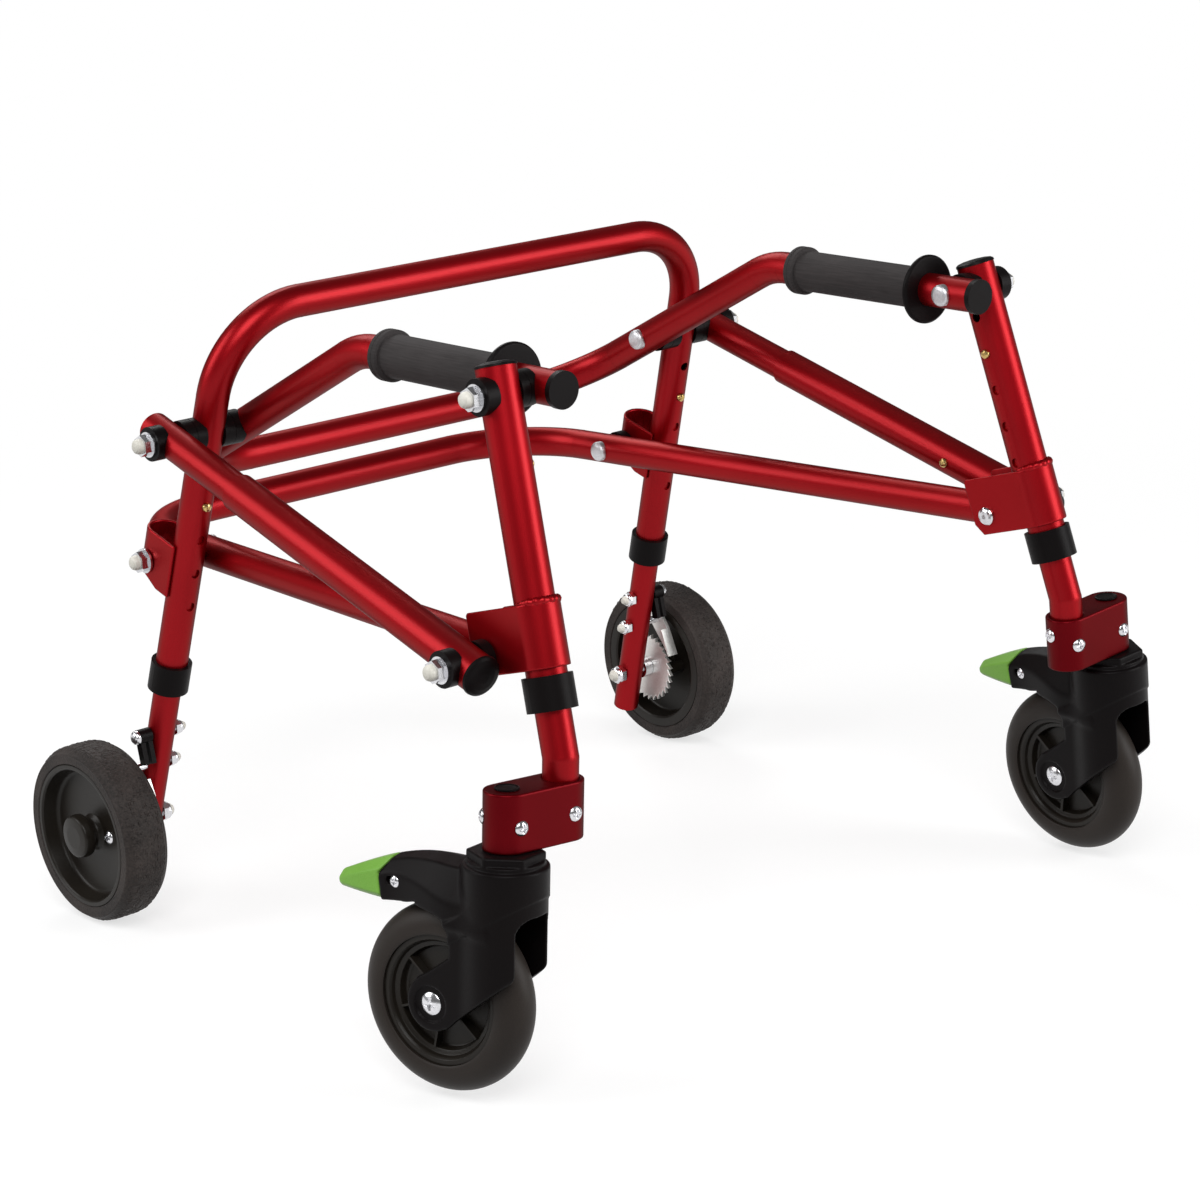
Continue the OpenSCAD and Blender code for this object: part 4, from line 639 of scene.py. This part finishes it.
# Rear tyres
AROUND, ACROSS = 216, 22
TREAD_R, TREAD_HALF, TREAD_CROWN, SHOULDER_FROM, SHOULDER_FALL = 62.1, 15.0, 0.004, 9.5, 0.075
GAP_SHARE, LIFT_LEAST, LIFT_MORE, LUG_INSET, TREAD_SEED = 0.3, 0.12, 0.4, 0.16, 7
random = np.random.default_rng(TREAD_SEED)


def tread_line(t):
    """Radius and place across of the tread at a share from one shoulder to the other."""
    z = TREAD_HALF * (2 * t - 1)
    past = max(0.0, abs(z) - SHOULDER_FROM)
    return TREAD_R - TREAD_CROWN * z * z - SHOULDER_FALL * past ** 2, z


def tread_mesh():
    """Sidewalls turned from a profile, and between them a band of cells with raised lugs."""
    half = [(tread_line(1)[0], TREAD_HALF, 0), (58.2, 16.6, 0.7), (57.0, 17.0, 0.5), (56.4, 16.8, 0.3),
            (51.4, 16.8, 0.8), (50.7, 16.0, 0.5)]
    wall = rounded(half + [(r, -z, f) for r, z, f in half[::-1]])
    points, faces = lathe(wall, AROUND, closed=False)

    def at(u, v, up):
        r, z = tread_line(v / ACROSS)
        a = 2 * math.pi * u / AROUND
        return ((r + up) * math.cos(a), (r + up) * math.sin(a), z)

    last_ring = (len(wall) - 1) * AROUND
    rows = [[last_ring + i for i in range(AROUND)]]
    for v in range(1, ACROSS):
        rows.append([len(points) + i for i in range(AROUND)])
        points += [at(i, v, 0.0) for i in range(AROUND)]
    rows.append(list(range(AROUND)))
    near, far = LUG_INSET, 1 - LUG_INSET
    lug = ((near, near), (far, near), (far, far), (near, far))
    for v in range(ACROSS):
        for u in range(AROUND):
            n = (u + 1) % AROUND
            ring = [rows[v][u], rows[v][n], rows[v + 1][n], rows[v + 1][u]]
            if random.random() < GAP_SHARE or v in (0, ACROSS - 1):
                faces.append(ring)
                continue
            lift = LIFT_LEAST + LIFT_MORE * random.random() ** 2
            top = [len(points) + k for k in range(4)]
            points += [at(u + x, v + y, lift) for x, y in lug]
            faces.append(top)
            faces += [[ring[k], ring[(k + 1) % 4], top[(k + 1) % 4], top[k]] for k in range(4)]
    return points, faces


# Rear rims: a dish outside, with the hub's knob in its middle, and a hub inside
FLOOR = 4.2
dish = rounded([(4.1, 6, 0), (4.1, -12, 0), (12, -12, 0.8), (12, -3.5, 1), (41, -3.5, 3), (42.5, -15.6, 1),
                (44, -16.4, 0.8), (50.5, -16.4, 0.6), (50.5, 16.4, 0.6), (47.6, 16.4, 1.0), (46.6, 15.4, 0.8),
                (44.2, FLOOR, 3.5), (13.0, FLOOR, 2), (9.7, FLOOR + 3, 2.5), (9.7, 12.4, 0.6),
                (15.0, 12.6, 1.0), (15.3, 15.5, 1.2), (14.6, 20.6, 2.2), (8, 21.2, 3), (0, 21.2, 0),
                (0, 6, 0)])
rear_tread, rear_dish = tread_mesh(), lathe(dish, segments=128)
for side in SIDES:
    build(f"rear_tread_{side}", *rear_tread, RUBBER, f"rear_wheel_{side}", "tyre", wheel_frame, side,
          sharp=60, replaced=[f"rear_tyre_{side}"])
    build(f"rear_dish_{side}", *rear_dish, RIM, f"rear_wheel_{side}", "black_plastic", wheel_frame, side,
          sharp=40, replaced=[f"rear_rim_{side}"])

# Toothed discs on their spacers, with two screws through each wheel
TEETH, TIP, ROOT, BORE = 30, 27.5, 23.8, 4.6
DISC_OUT, DISC_IN, DISC_EDGE, DISC_BEVEL = -20.0, -23.0, 0.25, 0.992
TOOTH = ((TIP, 0.0), (ROOT, 0.1), (ROOT + 0.9, 0.4), (ROOT + 2.1, 0.75))
SLEEVE_R, SLEEVE_FOOT, STUD_R, STUD_FOOT_R, STUD_FOOT, STUD_OFF = 11.6, -11.9, 4.2, 4.6, -3.0, 18.5
DISH_SCREW_R, DISH_SCREW_H, SEATED = 4.8, 2.4, 0.05
teeth = [(r, 2 * math.pi * (i + turn) / TEETH) for i in range(TEETH) for r, turn in TOOTH]
edge_loop = [(r * math.cos(a), r * math.sin(a)) for r, a in teeth]
bore_loop = [(BORE * math.cos(a), BORE * math.sin(a)) for _, a in teeth]
rings = [(bore_loop, 1, DISC_OUT), (edge_loop, DISC_BEVEL, DISC_OUT), (edge_loop, 1, DISC_OUT - DISC_EDGE),
         (edge_loop, 1, DISC_IN + DISC_EDGE), (edge_loop, DISC_BEVEL, DISC_IN), (bore_loop, 1, DISC_IN)]
disc_points = [(x * share, y * share, z) for loop, share, z in rings for x, y in loop]
size, turns = len(teeth), len(rings)
disc_faces = [[k * size + i, (k + 1) % turns * size + i, (k + 1) % turns * size + (i + 1) % size,
               k * size + (i + 1) % size] for k in range(turns) for i in range(size)]
sleeve = lathe(rounded([(BORE, DISC_OUT, 0), (SLEEVE_R, DISC_OUT, 0.6), (SLEEVE_R, SLEEVE_FOOT, 0.6),
                        (BORE, SLEEVE_FOOT, 0)], steps=3), segments=64)
stud = lathe(rounded([(0, DISC_OUT, 0), (STUD_R, DISC_OUT, 0.4), (STUD_FOOT_R, STUD_FOOT, 0.4),
                      (0, STUD_FOOT, 0)], steps=3), segments=40)
spacers = merged((*sleeve, Matrix.Identity(4)), (*stud, move(0, STUD_OFF, 0)), (*stud, move(0, -STUD_OFF, 0)))
for side in SIDES:
    body = f"rear_wheel_{side}"
    build(f"ratchet_plate_{side}", disc_points, disc_faces, PLATE, body, "steel", wheel_frame, side,
          sharp=25, replaced=[f"ratchet_disc_{side}"])
    build(f"ratchet_spacers_{side}", *spacers, RIM, body, "black_plastic", wheel_frame, side, sharp=40)
    for hand, way in ((-1, "front"), (1, "back")):
        screw(f"dish_screw_{side}_{way}", wheel_frame @ move(0, STUD_OFF * hand, FLOOR + SEATED),
              DISH_SCREW_R, DISH_SCREW_H, body, side)

# Grips: a sleeve with a bead behind, and a broad flange in front
grips_low, grips_high = node_box("grips")
handle_x = grips_high.x - (grips_high.z - grips_low.z) / 2
grip_frame = move(handle_x, grips_low.y, (grips_low.z + grips_high.z) / 2) @ rot("X", -90)
GRIP_BORE, GRIP_LEN = 11.2, 124.0
sleeve = lathe(rounded([(GRIP_BORE, 5, 0), (13.8, 5, 0.5), (14, 8.4, 0.6), (14, 113.4, 0.5), (14.3, 114, 0.4),
                        (15.6, 114.2, 0.8), (16.7, 115.6, 1.0), (16.7, 118.6, 0.5), (16.2, 119.2, 0.3),
                        (16.7, 119.8, 0.5), (16.7, 122.4, 1.2), (15.2, GRIP_LEN, 1.2),
                        (GRIP_BORE, GRIP_LEN, 0)], steps=4))
flange = lathe(rounded([(GRIP_BORE, 0, 0), (21.8, 0, 1.0), (23.2, 1.0, 0.9), (23.2, 3.0, 0.9),
                        (21.8, 4.2, 1.0), (15.5, 4.6, 1.5), (13.9, 6.2, 0.6), (13.9, 7.6, 0.3),
                        (GRIP_BORE, 7.6, 0)], steps=4))
build("hand_grips", *pair(*sleeve, grip_frame), FOAM, "handle_frame", "grip_foam", sharp=45,
      replaced=["grips"])
build("grip_flanges", *pair(*flange, grip_frame), BLACK, "handle_frame", "grip_foam", sharp=45)

# Offset blocks with their screws and plugs
LEG_BORE, STEM_BORE, BLOCK_EDGE, BORE_EDGE = 11.2, 6.1, 1.0, 0.6
BLOCK_ROOM, BLOCK_CELL = ((-17, -17, -39), (59, 17, 2.5)), 0.8
BLOCK_SCREW_R, BLOCK_SCREW_H, PLUG_LIFT = 4.9, 2.3, 0.3
# For each screw: which end of the block, the way it faces in degrees, and its share of the way down
BLOCK_SCREWS = {"left": ((0, 166, 0.32), (0, 254, 0.5), (STEM_OFF, 270, 0.57)),
                "right": ((STEM_OFF, 38, 0.45), (STEM_OFF, 270, 0.57), (0, 270, 0.53))}


def block_field(p):
    x, y, z = p[..., 0], p[..., 1], p[..., 2]
    d = rod_field(np.hypot(x - np.clip(x, 0, STEM_OFF), y), z, BLOCK_R, -BLOCK_H, 0, BLOCK_EDGE)
    bores = np.minimum(np.hypot(x, y) - LEG_BORE, np.hypot(x - STEM_OFF, y) - STEM_BORE)
    return smooth_max(d, -bores, BORE_EDGE)


block_mesh = surface(block_field, *BLOCK_ROOM, BLOCK_CELL)
plug = lathe(rounded([(6.0, 0.05, 0), (7.6, 0.05, 0.2), (7.6, 0.9, 0.4), (6.8, 1.2, 0.3), (6.2, 0.6, 0.3),
                      (0, 0.5, 0), (0, 0.05, 0)], steps=4), segments=64)
for side, rows in BLOCK_SCREWS.items():
    build(f"block_{side}", *block_mesh, DARK_RED, f"front_leg_unit_{side}", "dark_red", block_frame, side,
          replaced=[f"offset_block_{side}"])
    build(f"stem_plug_{side}", *plug, BLACK, f"caster_{side}", "black_plastic",
          caster_frame(side) @ move(0, 0, BLOCK_H + PLUG_LIFT), side, sharp=40)
    for i, (across, turn, down) in enumerate(rows):
        spot = block_frame @ move(across, 0, -down * BLOCK_H) @ rot("Z", turn) @ move(BLOCK_R + SEATED, 0, 0)
        screw(f"block_screw_{side}_{i + 1}", spot @ rot("Y", 90), BLOCK_SCREW_R, BLOCK_SCREW_H,
              f"front_leg_unit_{side}", side)

# Folded brackets, with their welds
BOLT_HOLE, SHEET_HALF, FOLD_EDGE, HOLE_EDGE = 4.2, 1.25, 0.9, 0.5
STRAP_R, STRAP_TOP, STRAP_LOW, STRAP_RISE = 12.4, 22.0, -16.0, 13.0
STRAP_TAIL, STRAP_TAIL_LOW, STRAP_PAST = 39.0, -6.5, 46.0
SLEEVE_MID, BRACKET_TOP, BRACKET_LOW, BRACKET_PAST, FRONT_PAST = 14.0, 26.55, -12.95, 13.5, -20
TOP_CUT, TOP_CUT_LOW, TOE_CUT, TOE_LOW = 1.5, 25.0, 6.0, -5.0
STRAP_ROOM, BRACKET_ROOM = ((-15, -2, -18.5), (15, 43, 24.5)), ((-17, -17, -15.5), (17, 52, 29))
SHEET_CELL = 0.7


def bore_field(p, line, pivot):
    """A bolt hole along X through a pivot, in a leaning frame."""
    back = line.inverted()
    at, along = np.array(back @ pivot), np.array(back.to_3x3() @ Vector((1, 0, 0)))
    off = p - at
    return np.linalg.norm(off - (off @ along)[..., None] * along, axis=-1) - BOLT_HOLE


def folded(shell, outline, p, line, pivot):
    """Bent sheet cut to an outline, with its bolt hole."""
    return smooth_max(smooth_max(shell, outline, FOLD_EDGE), -bore_field(p, line, pivot), HOLE_EDGE)


def strap_field(p):
    x, y, z = p[..., 0], p[..., 1], p[..., 2]
    shell = np.abs(np.hypot(x, y - np.clip(y, 0, STRAP_BACK)) - STRAP_R) - SHEET_HALF
    outline = polygon_field(y, z, [(0, STRAP_TOP), (STRAP_PAST, STRAP_TOP), (STRAP_PAST, STRAP_TAIL_LOW),
                                   (STRAP_TAIL, STRAP_TAIL_LOW), (STRAP_RISE, STRAP_LOW), (0, STRAP_LOW)])
    return folded(shell, outline, p, strap_frame, PIVOT_B)


def bracket_field(p):
    x, y, z = p[..., 0], p[..., 1], p[..., 2]
    shell = np.abs(np.hypot(x, np.minimum(y, 0)) - SLEEVE_MID) - SHEET_HALF
    far = BRACKET_BACK + BRACKET_PAST
    outline = polygon_field(y, z, [(FRONT_PAST, BRACKET_TOP), (far - TOP_CUT, BRACKET_TOP),
                                   (far, TOP_CUT_LOW), (far, TOE_LOW), (far - TOE_CUT, BRACKET_LOW),
                                   (FRONT_PAST, BRACKET_LOW)])
    return folded(shell, outline, p, bracket_frame, PIVOT_D)


BEAD_R, BEAD_SWELL, BEAD_WAVE, BEAD_CHANCE, BEAD_SIDES = 1.9, 0.75, 0.55, 0.3, 10
BEAD_END, BEAD_GROW = 0.35, 3


def bead(radius, low, high, count, seed):
    """A weld of overlapping drops along part of a circle, thinner at both ends."""
    chance = np.random.default_rng(seed)
    points, faces = [], []
    for i in range(count + 1):
        a = math.radians(low + (high - low) * i / count)
        drop = BEAD_R + BEAD_SWELL * abs(math.sin(i * BEAD_WAVE)) + BEAD_CHANCE * chance.random()
        drop *= min(1.0, BEAD_END + BEAD_GROW * min(i, count - i) / count)
        for x, z, _ in circle(drop, BEAD_SIDES, 0):
            points.append(((radius + x) * math.cos(a), (radius + x) * math.sin(a), z))
    for i in range(count):
        for k in range(BEAD_SIDES):
            here, n = i * BEAD_SIDES, (k + 1) % BEAD_SIDES
            faces.append([here + k, here + n, here + BEAD_SIDES + n, here + BEAD_SIDES + k])
    faces.append(list(range(BEAD_SIDES - 1, -1, -1)))
    faces.append([count * BEAD_SIDES + k for k in range(BEAD_SIDES)])
    return points, faces


WELD_R, WELD_UP, WELD_FROM, WELD_TO, WELD_DROPS, WELD_SEED = 13.4, 27.0, 176, 364, 54, 3
strap_mesh = surface(strap_field, *STRAP_ROOM, SHEET_CELL)
bracket_mesh = surface(bracket_field, *BRACKET_ROOM, SHEET_CELL)
weld_mesh = bead(WELD_R, WELD_FROM, WELD_TO, WELD_DROPS, WELD_SEED)
build("strap_brackets", *pair(*strap_mesh, strap_frame), RED, "rear_frame", "dark_red",
      replaced=["rear_brackets"])
build("post_brackets", *pair(*bracket_mesh, bracket_frame), RED, "front_frame", "dark_red",
      replaced=["front_brackets"])
build("bracket_welds", *pair(*weld_mesh, bracket_frame @ move(0, 0, WELD_UP)), RED, "front_frame", "red_tube")

# Nylon ends of the rear leg's nuts, on the inner side of the leg
NUT_FACE, CAP_SINK, CAP_RIM, CAP_SHOULDER, CAP_TOP = -9.985, -3.2, 0.2, 2.6, 2.9
CAP_NECK, RIM_ROUND, NECK_ROUND = 0.55, 0.5, 0.4  # shares of the cap's radius
axle_on_leg = beside(leg_frame, joint_at("rear_wheel_spin"))[0].translation
# For each nut: its place on the leg's axis, its depth and its cap's radius
LEG_NUTS = (("axle", axle_on_leg, 8.0, 4.6), ("upper", joint_at("lever_turn"), 7.0, 3.6),
            ("lower", joint_at("pawl_turn"), 7.0, 3.6))
for side in SIDES:
    for name, spot, depth, radius in LEG_NUTS:
        cap = rounded([(0, CAP_SINK, 0), (radius, CAP_SINK, 0.2), (radius, CAP_RIM, radius * RIM_ROUND),
                       (radius * CAP_NECK, CAP_SHOULDER, radius * NECK_ROUND), (0, CAP_TOP, 0)])
        where = Matrix.Translation(spot) @ move(NUT_FACE - depth, 0, 0) @ rot("Y", -90)
        build(f"leg_nut_cap_{name}_{side}", *lathe(cap, segments=40), NYLON, f"rear_leg_unit_{side}",
              "white_nylon", where, side, sharp=50)

# Camera, solved from the photograph: its place, its angles in degrees, and the lens in pixels
EYE = Vector((-1435.8, -1691.1, 832.4))
AZIMUTH, ELEVATION, ROLL = -41.187, 15.723, -2.26828
PHOTO_PX, FOCAL_PX, CENTRE_X_PX, CENTRE_Y_PX = 1200, 3345.1, 611.106, 598.39
SENSOR, FAR_CLIP = 36.0, 80.0
scene = bpy.context.scene
lens = bpy.data.cameras.new("camera")
lens.sensor_width = SENSOR
lens.lens = FOCAL_PX / PHOTO_PX * SENSOR
lens.shift_x = (PHOTO_PX / 2 - CENTRE_X_PX) / PHOTO_PX
lens.shift_y = (CENTRE_Y_PX - PHOTO_PX / 2) / PHOTO_PX
lens.dof.use_dof = False
lens.clip_end = FAR_CLIP
camera = bpy.data.objects.new("camera", lens)
scene.collection.objects.link(camera)
camera.matrix_world = (Matrix.Translation(EYE * MM) @ rot("Z", AZIMUTH) @ rot("X", 90 - ELEVATION)
                       @ rot("Z", ROLL))
scene.camera = camera


# Studio, in metres: soft ambient light, a pale floor that fades to white, and four soft lamps
def seen(tree):
    """1 for camera, glossy and transmission rays."""
    path = node(tree, "LightPath", {}).outputs
    direct = maths(tree, "MAXIMUM", path["Is Camera Ray"], path["Is Glossy Ray"])
    return maths(tree, "MAXIMUM", direct, path["Is Transmission Ray"])


WHITE = (1, 1, 1, 1)
AMBIENT, FLOOR_GREY, FLOOR_GLOW, FLOOR_HALF, FLOOR_GAP = 0.17, (0.35, 0.35, 0.35, 1), 0.68, 22.0, 0.0005
FADE_FROM, FADE_TO = 0.45, 1.6
world = bpy.data.worlds.new("studio")
world.use_nodes = True
scene.world = world
feed(world.node_tree, world.node_tree.nodes["Background"], {"Color": WHITE, "Strength": AMBIENT})

floor_mesh = bpy.data.meshes.new("floor")
floor_corners = [(x * FLOOR_HALF, y * FLOOR_HALF, 0) for x, y in ((-1, -1), (1, -1), (1, 1), (-1, 1))]
floor_mesh.from_pydata(floor_corners, [], [(0, 1, 2, 3)])
floor = bpy.data.objects.new("floor", floor_mesh)
floor.location.z = cad_box[0].z - FLOOR_GAP
scene.collection.objects.link(floor)
pale = bpy.data.materials.new("floor_white")
pale.use_nodes = True
tree = pale.node_tree
tree.nodes.remove(tree.nodes["Principled BSDF"])
glow = maths(tree, "MULTIPLY", seen(tree), FLOOR_GLOW)
lit = node(tree, "AddShader", {
    0: node(tree, "BsdfDiffuse", {"Color": FLOOR_GREY}).outputs[0],
    1: node(tree, "Emission", {"Color": WHITE, "Strength": glow}).outputs[0]})
blank = node(tree, "Emission", {"Color": WHITE, "Strength": seen(tree)})
place = node(tree, "TexCoord", {}).outputs["Object"]
away = node(tree, "VectorMath", {0: place}, operation="LENGTH").outputs["Value"]
fade = node(tree, "MapRange", {"Value": away, "From Min": FADE_FROM, "From Max": FADE_TO},
            interpolation_type="SMOOTHSTEP")
blend = node(tree, "MixShader", {0: fade.outputs["Result"], 1: lit.outputs[0], 2: blank.outputs[0]})
feed(tree, tree.nodes["Material Output"], {"Surface": blend.outputs[0]})
floor_mesh.materials.append(pale)

# Each lamp's place, the height that it aims at, its two sides and its power in watts
LAMPS = {
    "key": ((-1.6, -1.9, 2.6), 0.25, (1.9, 1.9), 70),
    "fill": ((1.75, -2.45, 1.1), 0.28, (1.5, 2.0), 58),
    "side": ((-2.5, 1.5, 1.9), 0.3, (1.9, 2.2), 54),
    "rim": ((0.9, 2.4, 2.2), 0.3, (1.8, 1.0), 30),
}
for name, (spot, aim, sides, power) in LAMPS.items():
    light = bpy.data.lights.new(name, "AREA")
    light.shape = "RECTANGLE"
    light.size, light.size_y = sides
    light.energy = power
    lamp = bpy.data.objects.new(name, light)
    lamp.location = spot
    lamp.rotation_euler = (Vector((0, 0, aim)) - Vector(spot)).to_track_quat("-Z", "Y").to_euler()
    scene.collection.objects.link(lamp)
scene.view_settings.view_transform = "Standard"
